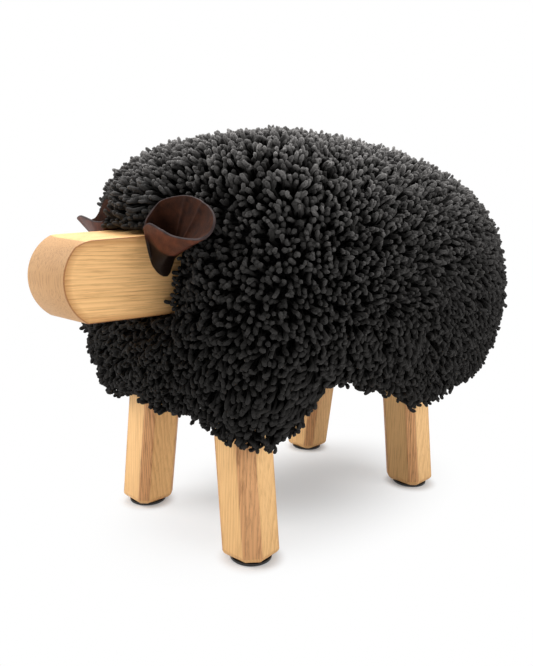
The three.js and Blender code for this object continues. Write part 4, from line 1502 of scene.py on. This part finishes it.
@dataclass
class Head:
    """The head: a timber block with a rounded nose and softened edges, darker at the rims of its faces:
    partly rubbed wear, partly painted shade.
    """

    palette: Palette
    width: float = 0.062
    height: float = 0.065
    length: float = 0.205
    sagitta: float = 0.0186
    nose_y: float = -0.270
    nose_height: float = 0.251
    tilt: float = math.radians(1.6)
    top_level: float = 0.0318
    top_pitch: float = math.radians(2.9)
    top_cant: float = math.radians(2.9)
    arc_steps: int = 48
    brow_y: float = 0.0191
    brow_radius: float = 0.036
    brow_passes: int = 7
    sharpness: float = math.radians(25)
    edge: float = 0.0008
    edge_merge_share: float = 0.025
    wear_and_shade_width: float = 0.006

    def nose_radius(self) -> float:
        """The radius of the nose's curve."""
        return ((self.height / 2) ** 2 + self.sagitta ** 2) / (2 * self.sagitta)

    def profile(self) -> list[tuple[float, float]]:
        """The side view before the top is planed, from the nose arc's highest point round to the rear.

        Returns:
            Points along and up from the nose's middle, counter-clockwise seen from the left.
        """
        half = self.height / 2
        radius = self.nose_radius()
        corner = math.asin(half / radius)
        arc = []
        for step in range(self.arc_steps + 1):
            turn = math.pi / 2 + (math.pi / 2 + corner) * step / self.arc_steps
            arc.append((radius + radius * math.cos(turn), radius * math.sin(turn)))
        return [*arc, (self.length, -half), (self.length, self.height)]

    def plane_top(self, shape: bmesh.types.BMesh, start: Vector, turn: Matrix) -> None:
        """Planes the top at its slope, then its front edge, in passes that turn towards the nose's curve.

        Args:
            shape: The head, with its top too high.
            start: The nose's middle.
            turn: The head's tilt.
        """
        nose_pitch = math.asin(1 - self.brow_y / self.nose_radius())
        bend = (nose_pitch - self.top_pitch) / 2
        inward = Matrix.Rotation(self.top_pitch + bend, 3, "X") @ Vector((0, 0, 1))
        brow = Vector((0, self.brow_y, self.top_level + self.brow_y * math.tan(self.top_pitch)))
        middle = brow - inward * self.brow_radius / math.cos(bend)
        cant = Matrix.Rotation(self.top_cant, 3, "Y")
        for index in range(self.brow_passes):
            pitch = self.top_pitch + 2 * bend * index / self.brow_passes
            normal = Matrix.Rotation(pitch, 3, "X") @ cant @ Vector((0, 0, 1))
            bmesh.ops.bisect_plane(shape, geom=[*shape.verts, *shape.edges, *shape.faces],
                                   dist=self.edge * self.edge_merge_share, clear_outer=True,
                                   plane_co=start + turn @ (middle + normal * self.brow_radius),
                                   plane_no=turn.to_3x3() @ normal)
            bmesh.ops.holes_fill(shape, edges=[edge for edge in shape.edges if edge.is_boundary])

    def block(self, start: Vector, turn: Matrix) -> bmesh.types.BMesh:
        """The block as sawn: its side view carried across its width.

        Args:
            start: The nose's middle.
            turn: The head's tilt.

        Returns:
            The block, with the nose's curve as material 1.
        """
        shape = bmesh.new()
        outline = self.profile()
        left, right = ([shape.verts.new(start + turn @ Vector((x, y, z))) for y, z in outline]
                       for x in (self.width / 2, -self.width / 2))
        for index in range(len(outline)):
            after = (index + 1) % len(outline)
            face = shape.faces.new([left[index], left[after], right[after], right[index]])
            face.material_index = 1 if index < self.arc_steps else 0
        shape.faces.new(list(reversed(left)))
        shape.faces.new(right)
        return shape

    def build(self) -> Object:
        """Makes the head.

        Returns:
            The head.
        """
        turn = Matrix.Rotation(self.tilt, 4, "X")
        start = Vector((0, self.nose_y, self.nose_height))
        shape = self.block(start, turn)
        self.plane_top(shape, start, turn)
        bmesh.ops.remove_doubles(shape, verts=shape.verts, dist=self.edge / 2)
        bmesh.ops.recalc_face_normals(shape, faces=shape.faces)
        sharp = [edge for edge in shape.edges if edge.calc_face_angle(0) > self.sharpness]
        soften(shape, sharp, self.edge, material=2)
        flats = [face for face in shape.faces if len(face.verts) > self.arc_steps / 2]
        # Darker rims on the flat faces: partly rubbed wear, partly painted shade.
        wear_and_shade(shape, flats, flats, self.wear_and_shade_width)
        piece = object_of(shape, "head_block", self.palette.head_oak, self.palette.end_oak,
                          self.palette.edge_oak)
        return finish_piece(piece, Slot.OAK, "head", angle=30)


@dataclass(frozen=True)
class LegPlace:
    """Where one leg stands, its turn about its own axis, and the chamfer of its +X, -Y corner."""

    name: str
    side: int
    foot_y: float
    turn: float = 0.0
    chamfer: float = 0.0075


@dataclass
class Legs:
    """Four splayed legs of square timber with their long corners taken off, and their glides."""

    palette: Palette
    side: float = 0.044
    chamfer: float = 0.0075
    end: float = 0.0060
    end_steps: int = 4
    end_roundness: float = 0.36
    foot_x: float = 0.083
    splay: float = math.radians(7.1)
    glide_radius: float = 0.019
    glide_thickness: float = 0.003
    glide_steps: int = 48
    glide_gap: float = 0.0003
    top: float = 0.1697
    sharpness: float = math.radians(17)
    edge: float = 0.0010
    wear_and_shade_width: float = 0.0028
    places: tuple[LegPlace, ...] = (
        LegPlace("front_left", 1, -0.122, math.radians(7), 0.0115), LegPlace("front_right", -1, -0.122),
        LegPlace("rear_left", 1, 0.138), LegPlace("rear_right", -1, 0.138),
    )

    def leaned(self, place: LegPlace, point: Vector) -> Vector:
        """Moves a point from the upright leg at the origin to the leg's place."""
        x = point.x + place.side * (self.foot_x - math.tan(self.splay) * point.z)
        return Vector((x, point.y + place.foot_y, point.z))

    def leg(self, place: LegPlace) -> Object:
        """Makes one leg.

        Args:
            place: The leg's place.

        Returns:
            The leg.
        """
        half, flat, front = self.side / 2, self.side / 2 - self.chamfer, self.side / 2 - place.chamfer
        corners = [(half, flat), (flat, half), (-flat, half), (-half, flat),
                   (-half, -flat), (-flat, -half), (front, -half), (half, -front)]
        spin = Matrix.Rotation(place.turn, 4, "Z")
        shape = bmesh.new()
        low, high = ([shape.verts.new(self.leaned(place, spin @ Vector((x, y, level)))) for x, y in corners]
                     for level in (self.glide_thickness + self.glide_gap, self.top))
        for index in range(len(corners)):
            after = (index + 1) % len(corners)
            face = shape.faces.new([low[index], low[after], high[after], high[index]])
            face.material_index = 1 - index % 2
        ends = [shape.faces.new(list(reversed(low))), shape.faces.new(high)]
        rims = list(dict.fromkeys(edge for face in ends for edge in face.edges))
        soften(shape, rims, self.end, self.end_steps, self.end_roundness)
        longs = [edge for edge in shape.edges
                 if abs(edge.verts[0].co.z - edge.verts[1].co.z) > self.top / 2
                 and edge.calc_face_angle(0) > self.sharpness]
        soften(shape, longs, self.edge, material=1)
        flats = [face for face in shape.faces
                 if face.material_index == 0 and face.calc_area() > self.side / 3 * self.top]
        # Darker rims on the flat faces: partly rubbed wear, partly painted shade.
        wear_and_shade(shape, shape.faces[:], flats, self.wear_and_shade_width)
        piece = object_of(shape, f"timber_leg_{place.name}", self.palette.leg_oak, self.palette.chamfer_oak)
        return finish_piece(piece, Slot.OAK, f"leg_{place.name}", angle=28)

    def glide(self, place: LegPlace) -> Object:
        """Makes one glide: a thin domed disc under the foot.

        Args:
            place: The leg's place.

        Returns:
            The glide.
        """
        edge = self.glide_thickness / 3
        profile = [(self.glide_radius - 2 * edge, 0), (self.glide_radius - edge, edge / 4),
                   (self.glide_radius, edge), (self.glide_radius, self.glide_thickness)]
        steps = self.glide_steps
        centre = self.leaned(place, Vector((0, 0, self.glide_thickness)))
        turns = [2 * math.pi * step / steps for step in range(steps)]
        points = [(centre.x + radius * math.cos(turn), centre.y + radius * math.sin(turn), z)
                  for radius, z in profile for turn in turns]
        faces = ring_faces(len(profile), steps)
        faces.append(list(reversed(range(steps))))
        faces.append([(len(profile) - 1) * steps + step for step in range(steps)])
        piece = mesh_object(f"foot_glide_{place.name}", points, faces)
        piece.data.materials.append(self.palette.glide)
        return finish_piece(piece, Slot.PLASTIC, f"glide_{place.name}", angle=35)

    def build(self) -> list[Object]:
        """Makes all the legs and glides."""
        return [make(place) for place in self.places for make in (self.leg, self.glide)]


# Ears


@dataclass(frozen=True)
class EarShape:
    """One ear's rim, as shares of its span, depth and rise from its root, once round from the head."""

    name: str
    side: int
    rim: tuple[tuple[float, float, float], ...]
    creases: tuple[float, ...] = ()


@dataclass
class Ears:
    """Two ears, each one piece of leather curled into a cup and tacked to the side of the head."""

    palette: Palette
    head_half_width: float = 0.031
    gap: float = 0.0003
    thickness: float = 0.0024
    span: float = 0.075
    depth: float = 0.026
    rise: float = 0.067
    root_y: float = -0.180
    root_height: float = 0.253
    root_radius: float = 0.002
    root_shares: tuple[float, float] = (0.05, 0.3)
    tab: tuple[float, float, float] = (0.001, -0.006, 0.012)
    tab_shares: tuple[float, float] = (0.04, 0.85)
    neck: tuple[float, float, float] = (0.005, -0.006, 0.015)
    neck_shares: tuple[float, float] = (0.30, 0.88)
    start_share: float = 0.015
    tip_share: float = 0.14
    tip_roundness: float = 0.01
    fold_end: float = 0.075
    fold_spread: float = 0.80
    fold_climb: float = 0.75
    fold_width: float = 0.22
    fold_top: float = 0.985
    fold_top_band: float = 0.04
    fold_depth: float = 0.0030
    fold_around: Ramp = Ramp(0, 0.03)
    fold_up: Ramp = Ramp(0.3, 0.6)
    crease_depth: float = 0.0011
    crease_width: float = 0.014
    crease_climb: float = 1.6
    edge_steps: int = 6
    edge_share: float = 0.8
    knot_steps: int = 24
    steps: int = 96
    rows: int = 34
    shapes: tuple[EarShape, ...] = (
        EarShape("left", 1, (
            (0, -0.79, 0.6), (0.13, -0.86, 0.645), (0.33, -0.85, 0.58), (0.52, -0.81, 0.51),
            (0.75, -0.73, 0.48), (0.94, -0.62, 0.485), (1, -0.42, 0.56), (0.98, -0.23, 0.7),
            (0.82, 0, 0.825), (0.58, 0.12, 0.935), (0.3, 0.12, 0.985), (0.03, -0.2, 0.915), (0, -0.62, 0.74),
        ), (0.60, 0.72)),
        EarShape("right", -1, (
            (0, -0.77, 0.67), (0.2, -0.83, 0.66), (0.38, -0.75, 0.69), (0.6, -0.6, 0.72),
            (0.83, -0.4, 0.735), (0.97, -0.25, 0.7), (0.9, -0.08, 0.66), (0.68, 0.04, 0.7),
            (0.48, -0.02, 0.82), (0.36, -0.04, 0.95), (0.24, 0, 1), (0.08, -0.04, 0.94), (0, -0.4, 0.8),
        ), (0.55,)),
    )

    def rim(self, ear: EarShape) -> np.ndarray:
        """A smooth closed line through the rim's points, evenly spaced.

        Args:
            ear: The ear.

        Returns:
            The rim's points.
        """
        knots = np.array(ear.rim) * [self.span, self.depth, self.rise]
        knots += [self.head_half_width, self.root_y, self.root_height]
        count = len(knots)
        fine = []
        for index in range(count):
            before, start, end, after = (knots[(index + shift) % count] for shift in (-1, 0, 1, 2))
            for t in np.linspace(0, 1, self.knot_steps, endpoint=False):
                fine.append(0.5 * (2 * start + (end - before) * t
                                   + (2 * before - 5 * start + 4 * end - after) * t ** 2
                                   + (3 * start - before - 3 * end + after) * t ** 3))
        fine.append(fine[0])
        line = np.array(fine)
        length = np.concatenate([[0], np.cumsum(np.linalg.norm(np.diff(line, axis=0), axis=1))])
        even = np.linspace(0, length[-1], self.steps, endpoint=False)
        return np.column_stack([np.interp(even, length, line[:, axis]) for axis in range(3)])

    def grid(self, ear: EarShape) -> np.ndarray:
        """The outer face as rings of points from the root up to the rim.

        Args:
            ear: The ear.

        Returns:
            An array of rings by steps by three.
        """
        rim = self.rim(ear)
        root = np.array([self.head_half_width + self.root_radius, self.root_y, self.root_height])
        out = rim - rim.mean(0)
        low = root + out * [*self.root_shares, 0]
        tab = root + self.tab + out * [*self.tab_shares, 0]
        neck = root + self.neck + out * [*self.neck_shares, 0]
        share = np.linspace(self.start_share, 1, self.rows)[:, None, None]
        rest = 1 - share
        rings = (rest ** 3 * low + 3 * rest ** 2 * share * tab
                 + 3 * rest * share ** 2 * neck + share ** 3 * rim)
        middle = rings.mean(1, keepdims=True)
        blunt = (1 - share / self.tip_share).clip(0, 1)
        rounded = np.sqrt(np.clip(1 - blunt ** 2, self.tip_roundness, 1))
        return middle + (rings - middle) * rounded

    @staticmethod
    def normals(grid: np.ndarray) -> np.ndarray:
        """Outward unit normals of a grid of rings.

        Args:
            grid: Rings by steps by three.

        Returns:
            The normals, of the same shape.
        """
        around = np.roll(grid, -1, axis=1) - np.roll(grid, 1, axis=1)
        along = np.gradient(grid, axis=0)
        normal = np.cross(around, along)
        return normal / np.maximum(np.linalg.norm(normal, axis=2, keepdims=True), 1e-9)

    def fold(self, around: np.ndarray, share: np.ndarray) -> np.ndarray:
        """How deep the leather folds in under the lip's end, beside the head; the same share sets the painted
        shade there.

        Args:
            around: Shares of the way round the rim.
            share: Shares of the way up from the root.

        Returns:
            A value from 0 to 1 for each row and step.
        """
        end = self.fold_end + self.fold_spread * smooth_share((self.fold_top - share) / self.fold_climb)
        across = smooth_share((end[:, None] - around[None, :]) / self.fold_width)
        return across * smooth_share((self.fold_top - share) / self.fold_top_band)[:, None]

    def crease(self, ear: EarShape, around: np.ndarray, share: np.ndarray) -> np.ndarray:
        """How deep the ear's creases run, from the root up to the rim.

        Args:
            ear: The ear.
            around: Shares of the way round the rim.
            share: Shares of the way up from the root.

        Returns:
            The depth for each row and step.
        """
        depth = np.zeros((self.rows, self.steps))
        for at in ear.creases:
            near = np.minimum(np.abs(around - at), 1 - np.abs(around - at))
            groove = self.crease_depth * np.exp(-(near / self.crease_width) ** 2)
            depth += groove[None, :] * smooth_share(share * self.crease_climb)[:, None]
        return depth

    def rounded_edge(self, outer: np.ndarray, inner: np.ndarray, normal: np.ndarray) -> list[np.ndarray]:
        """The leather's cut edge, from the outer face over to the inner one.

        Args:
            outer: The outer face's rings.
            inner: The inner face's rings.
            normal: The rim's outward normals.

        Returns:
            The edge's rings.
        """
        climb = outer[-1] - outer[-2]
        climb /= np.linalg.norm(climb, axis=1, keepdims=True)
        centre, half = (outer[-1] + inner[-1]) / 2, self.thickness / 2
        angles = [math.pi * step / self.edge_steps for step in range(1, self.edge_steps)]
        return [centre + normal * half * math.cos(angle) + climb * half * self.edge_share * math.sin(angle)
                for angle in angles]

    def build_one(self, ear: EarShape) -> Object:
        """Makes one ear: outer face, rounded cut edge and inner face.

        Args:
            ear: The ear.

        Returns:
            The ear.
        """
        outer = self.grid(ear)
        normal = self.normals(outer)
        share = np.linspace(0, 1, self.rows)
        around = np.arange(self.steps) / self.steps
        fold = self.fold(around, share)
        pressed = self.fold_around.at(around)[None, :] * self.fold_up.at(share)[:, None]
        depth = self.crease(ear, around, share) + self.fold_depth * fold * pressed
        outer = outer - normal * depth[:, :, None]
        inner = outer - normal * self.thickness
        edge = self.rounded_edge(outer, inner, normal[-1])
        rings = [*outer, *edge, *inner[::-1]]
        points = np.concatenate(rings)
        count, total = self.steps, len(rings)
        faces = ring_faces(total, count)
        faces.append(list(reversed(range(count))))
        faces.append([(total - 1) * count + step for step in range(count)])
        wall = self.head_half_width + self.gap
        inner_start = (self.rows + len(edge)) * count
        points[:inner_start, 0] = np.maximum(points[:inner_start, 0], wall)
        points[inner_start:, 0] = np.maximum(points[inner_start:, 0], wall + self.thickness * self.edge_share)
        if ear.side < 0:
            points[:, 0] *= -1
            faces = [list(reversed(face)) for face in faces]
        piece = mesh_object(f"leather_ear_{ear.name}", points, faces)
        for material in (self.palette.ear_outer, self.palette.ear_inner, self.palette.ear_edge):
            piece.data.materials.append(material)
        # Painted shade on the outer face, where it folds in beside the head under the lip.
        shade = np.zeros(len(points), dtype=np.float32)
        shade[:self.rows * count] = fold.ravel()
        piece.data.attributes.new(Attribute.FOLD_SHADE.value, "FLOAT", "POINT").data.foreach_set("value", shade)
        for polygon in piece.data.polygons:
            ring = min(polygon.vertices) // count
            on_edge = ring < self.rows + len(edge) - 1
            polygon.material_index = 0 if ring < self.rows - 1 else (2 if on_edge else 1)
        return finish_piece(piece, Slot.LEATHER, f"ear_{ear.name}", angle=60)

    def build(self) -> list[Object]:
        """Makes both ears."""
        return [self.build_one(ear) for ear in self.shapes]


# Underside


@dataclass
class Underside:
    """The dust cover under the board and the tacks that hold it."""

    palette: Palette
    tacks: int = 10
    tack_radius: float = 0.0045
    tack_rise: float = 0.0012
    dome_share: float = 0.27

    def dust_cover(self) -> Object:
        """Makes the dust cover: the CAD sheet itself, dressed as cloth.

        Returns:
            The dust cover.
        """
        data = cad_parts["dust_cover"].data.copy()
        data.name = "dust_sheet"
        piece = bpy.data.objects.new("dust_sheet", data)
        bpy.context.scene.collection.objects.link(piece)
        data.materials.clear()
        data.materials.append(self.palette.dust_cloth)
        finish_piece(piece, Slot.DUST_CLOTH, "dust_cover", angle=30)
        return piece

    def tack_tree(self) -> tuple[NodeTree, str]:
        """The node tree that sets a domed tack head on every point of a mesh.

        Returns:
            The tree, and the identifier of its radius.
        """
        tree = bpy.data.node_groups.new("cover_tacks", "GeometryNodeTree")
        face = tree.interface
        face.new_socket("Places", in_out="INPUT", socket_type="NodeSocketGeometry")
        radius = face.new_socket("Radius", in_out="INPUT", socket_type="NodeSocketFloat").identifier
        face.new_socket("Tacks", in_out="OUTPUT", socket_type="NodeSocketGeometry")
        given = add(tree, "NodeGroupInput")
        points = add(tree, "GeometryNodeMeshToPoints", {"Mesh": given.outputs["Places"]})
        dome = add(tree, "GeometryNodeMeshUVSphere", {"Segments": 24, "Rings": 12,
                                                      "Radius": given.outputs["Radius"]})
        flat = add(tree, "GeometryNodeTransform", {"Geometry": dome.outputs[0],
                                                   "Scale": (1.0, 1.0, self.dome_share)})
        each = add(tree, "GeometryNodeInstanceOnPoints", {"Points": points, "Instance": flat})
        real = add(tree, "GeometryNodeRealizeInstances", {"Geometry": each})
        smooth = add(tree, "GeometryNodeSetShadeSmooth", {"Geometry": real})
        dressed = add(tree, "GeometryNodeSetMaterial", {"Geometry": smooth, "Material": self.palette.zinc})
        add(tree, "NodeGroupOutput", {"Tacks": dressed})
        return tree, radius

    def tack_heads(self) -> Object:
        """Makes the tacks' heads, each where its CAD tack is.

        Returns:
            One object of all the heads.
        """
        names = [f"cover_tack_{index + 1}" for index in range(self.tacks)]
        places = []
        for name in names:
            low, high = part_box(name)
            places.append(((low.x + high.x) / 2, (low.y + high.y) / 2, low.z + self.tack_rise))
        piece = mesh_object("tack_heads", places, [])
        modifier = piece.modifiers.new("tacks", "NODES")
        modifier.node_group, radius = self.tack_tree()
        modifier[radius] = self.tack_radius
        bpy.context.view_layer.update()
        depsgraph = bpy.context.evaluated_depsgraph_get()
        data = bpy.data.meshes.new_from_object(piece.evaluated_get(depsgraph), depsgraph=depsgraph)
        piece.modifiers.remove(modifier)
        piece.data = data
        return finish_piece(piece, Slot.STEEL, *names, angle=60)

    def build(self) -> list[Object]:
        """Makes the dust cover and the tacks."""
        return [self.dust_cover(), self.tack_heads()]


# Carried-over nodes


def dress_cad_nodes(palette: Palette) -> None:
    """Gives every CAD node that still shows a finished material.

    Args:
        palette: The finishes.
    """
    rules = (("leg_bolt", palette.zinc), ("leg_washer", palette.zinc), ("head_screw", palette.zinc),
             ("ear_tack", palette.brass), ("seat_board", palette.plywood), ("neck_block", palette.block_oak))
    for name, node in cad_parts.items():
        for start, material in rules:
            if name.startswith(start):
                node.data.materials.clear()
                node.data.materials.append(material)


# Studio


@dataclass(frozen=True)
class Softbox:
    """One soft lamp: where it stands, its side and its power."""

    name: str
    place: tuple[float, float, float]
    side: float
    power: float


@dataclass
class Studio:
    """Pale floor, soft lamps, a white surround and the camera at the photograph's angle."""

    target: tuple[float, float, float] = (0.0, 0.0, 0.18)
    floor_colour: str = "f4f4f4"
    shadow_middle: tuple[float, float, float] = (0.0, 0.025, 0.0)
    shadow_reach: tuple[float, float, float] = (0.165, 0.27, 1.0)
    shadow_core: float = 0.05
    shadow_fade: float = 0.28
    feet_middle: tuple[float, float, float] = (0.0, 0.008, 0.0)
    foot: tuple[float, float, float] = (0.083, 0.130, 0.0)
    contact: tuple[float, float] = (0.018, 0.034)
    contact_fade: float = 0.25
    floor_half: float = 30.0
    white: str = "ffffff"
    surround: float = 0.26
    lamps: tuple[Softbox, ...] = (
        Softbox("softbox_top", (-0.30, 0.35, 1.6), 1.3, 31.5),
        Softbox("softbox_front", (-0.95, -1.35, 1.35), 1.2, 27.0),
        Softbox("softbox_side", (1.60, 0.45, 0.95), 1.2, 14.8),
    )
    camera_place: tuple[float, float, float] = (0.4640, -0.4867, 0.2942)
    azimuth: float = math.radians(45.26)
    elevation: float = math.radians(9.42)
    roll: float = math.radians(1.34)
    focal_pixels: float = 623.43
    picture_long_side: float = 666.0
    sensor: float = 36.0

    @staticmethod
    def seen(tree: NodeTree) -> Any:
        """Tells the rays that show a thing, straight on, mirrored or through glass, from those that light it.

        Args:
            tree: The material's or the world's tree.

        Returns:
            A node that gives 1 for rays that show and 0 for rays that light.
        """
        path = add(tree, "ShaderNodeLightPath").outputs
        bent = add(tree, MATH, (path["Is Glossy Ray"], path["Is Transmission Ray"]), "MAXIMUM")
        return add(tree, MATH, (path["Is Camera Ray"], bent), "MAXIMUM")

    def open_floor(self, tree: NodeTree) -> Any:
        """Works out how open the floor is: least under the stool and close round its feet.

        Args:
            tree: The floor's tree.

        Returns:
            A node that gives the openness, up to 1.
        """
        place = add(tree, "ShaderNodeTexCoord").outputs["Object"]
        from_shadow = add(tree, VECTOR, (place, self.shadow_middle), "SUBTRACT")
        spread = add(tree, VECTOR, (from_shadow, self.shadow_reach), "DIVIDE")
        away = add(tree, VECTOR, (spread,), "LENGTH").outputs["Value"]
        far = add(tree, "ShaderNodeMapRange", {"Value": away, "From Min": self.shadow_core,
                                               "To Min": self.shadow_fade}, interpolation_type="SMOOTHSTEP")
        centred = add(tree, VECTOR, (place, self.feet_middle), "SUBTRACT")
        quarter = add(tree, VECTOR, (centred,), "ABSOLUTE")
        from_foot = add(tree, VECTOR, (quarter, self.foot), "DISTANCE").outputs["Value"]
        low, high = self.contact
        contact = add(tree, "ShaderNodeMapRange",
                      {"Value": from_foot, "From Min": low, "From Max": high, "To Min": self.contact_fade},
                      interpolation_type="SMOOTHSTEP")
        return add(tree, MATH, (far, contact), "MULTIPLY")

    def floor(self) -> None:
        """Makes the floor: matt and pale, and white where it lies open to the camera."""
        half = self.floor_half
        plane = mesh_object("floor", [(-half, -half, 0), (half, -half, 0), (half, half, 0), (-half, half, 0)],
                            [[0, 1, 2, 3]])
        material = bpy.data.materials.new("pale_studio_floor")
        material.use_nodes = True
        tree = material.node_tree
        tree.nodes.clear()
        shader = add(tree, "ShaderNodeBsdfPrincipled", {"Base Color": srgb(self.floor_colour),
                                                        "Roughness": 0.85, "Specular IOR Level": 0.2})
        white = add(tree, "ShaderNodeEmission", {"Color": srgb(self.white), "Strength": 1.0})
        share = add(tree, MATH, (self.open_floor(tree), self.seen(tree)), "MULTIPLY")
        mixed = add(tree, "ShaderNodeMixShader", (share, shader, white))
        add(tree, "ShaderNodeOutputMaterial", {"Surface": mixed})
        plane.data.materials.append(material)

    def lights(self) -> None:
        """Hangs the lamps, each turned to the target."""
        for lamp in self.lamps:
            data = bpy.data.lights.new(lamp.name, "AREA")
            data.shape, data.size, data.energy = "SQUARE", lamp.side, lamp.power
            made = bpy.data.objects.new(lamp.name, data)
            made.location = lamp.place
            aim = Vector(self.target) - Vector(lamp.place)
            made.rotation_euler = aim.to_track_quat("-Z", "Y").to_euler()
            made.visible_camera = False
            bpy.context.scene.collection.objects.link(made)

    def world(self) -> None:
        """Makes the surround: white to the camera, and softer as a light."""
        world = bpy.data.worlds.new("white_surround")
        world.use_nodes = True
        tree = world.node_tree
        tree.nodes.clear()
        strength = add(tree, "ShaderNodeMapRange", {"Value": self.seen(tree), "To Min": self.surround})
        light = add(tree, "ShaderNodeBackground", {"Color": srgb(self.white), "Strength": strength})
        add(tree, "ShaderNodeOutputWorld", {"Surface": light})
        bpy.context.scene.world = world

    def camera(self) -> None:
        """Sets the camera where the photograph was taken from."""
        a, e = self.azimuth, self.elevation
        back = Vector((math.sin(a) * math.cos(e), -math.cos(a) * math.cos(e), math.sin(e)))
        right = Vector((math.cos(a), math.sin(a), 0))
        up = back.cross(right)
        level = right * math.cos(self.roll) + up * math.sin(self.roll)
        upright = up * math.cos(self.roll) - right * math.sin(self.roll)
        data = bpy.data.cameras.new("camera")
        data.sensor_width = self.sensor
        data.lens = self.focal_pixels * self.sensor / self.picture_long_side
        made = bpy.data.objects.new("camera", data)
        made.matrix_world = Matrix.Translation(self.camera_place) @ Matrix(
            (level, upright, back)).transposed().to_4x4()
        bpy.context.scene.collection.objects.link(made)
        bpy.context.scene.camera = made

    def build(self) -> None:
        """Sets up the whole studio."""
        bpy.context.scene.view_settings.view_transform = "Standard"
        self.floor()
        self.lights()
        self.world()
        self.camera()


def main() -> None:
    """Builds everything in order."""
    logging.basicConfig(level=logging.INFO, format="%(name)s: %(message)s")
    palette = Palette()
    Studio().build()
    ears = Ears(palette).build()
    pieces = [*ears, *Fleece(palette, ears).build(), SeatPadding(palette).build(), Head(palette).build(),
              *Legs(palette).build(), *Underside(palette).build()]
    dress_cad_nodes(palette)
    for piece in pieces:
        LOG.info("%s: %d faces", piece.name, len(piece.data.polygons))


if __name__ == "__main__":
    main()
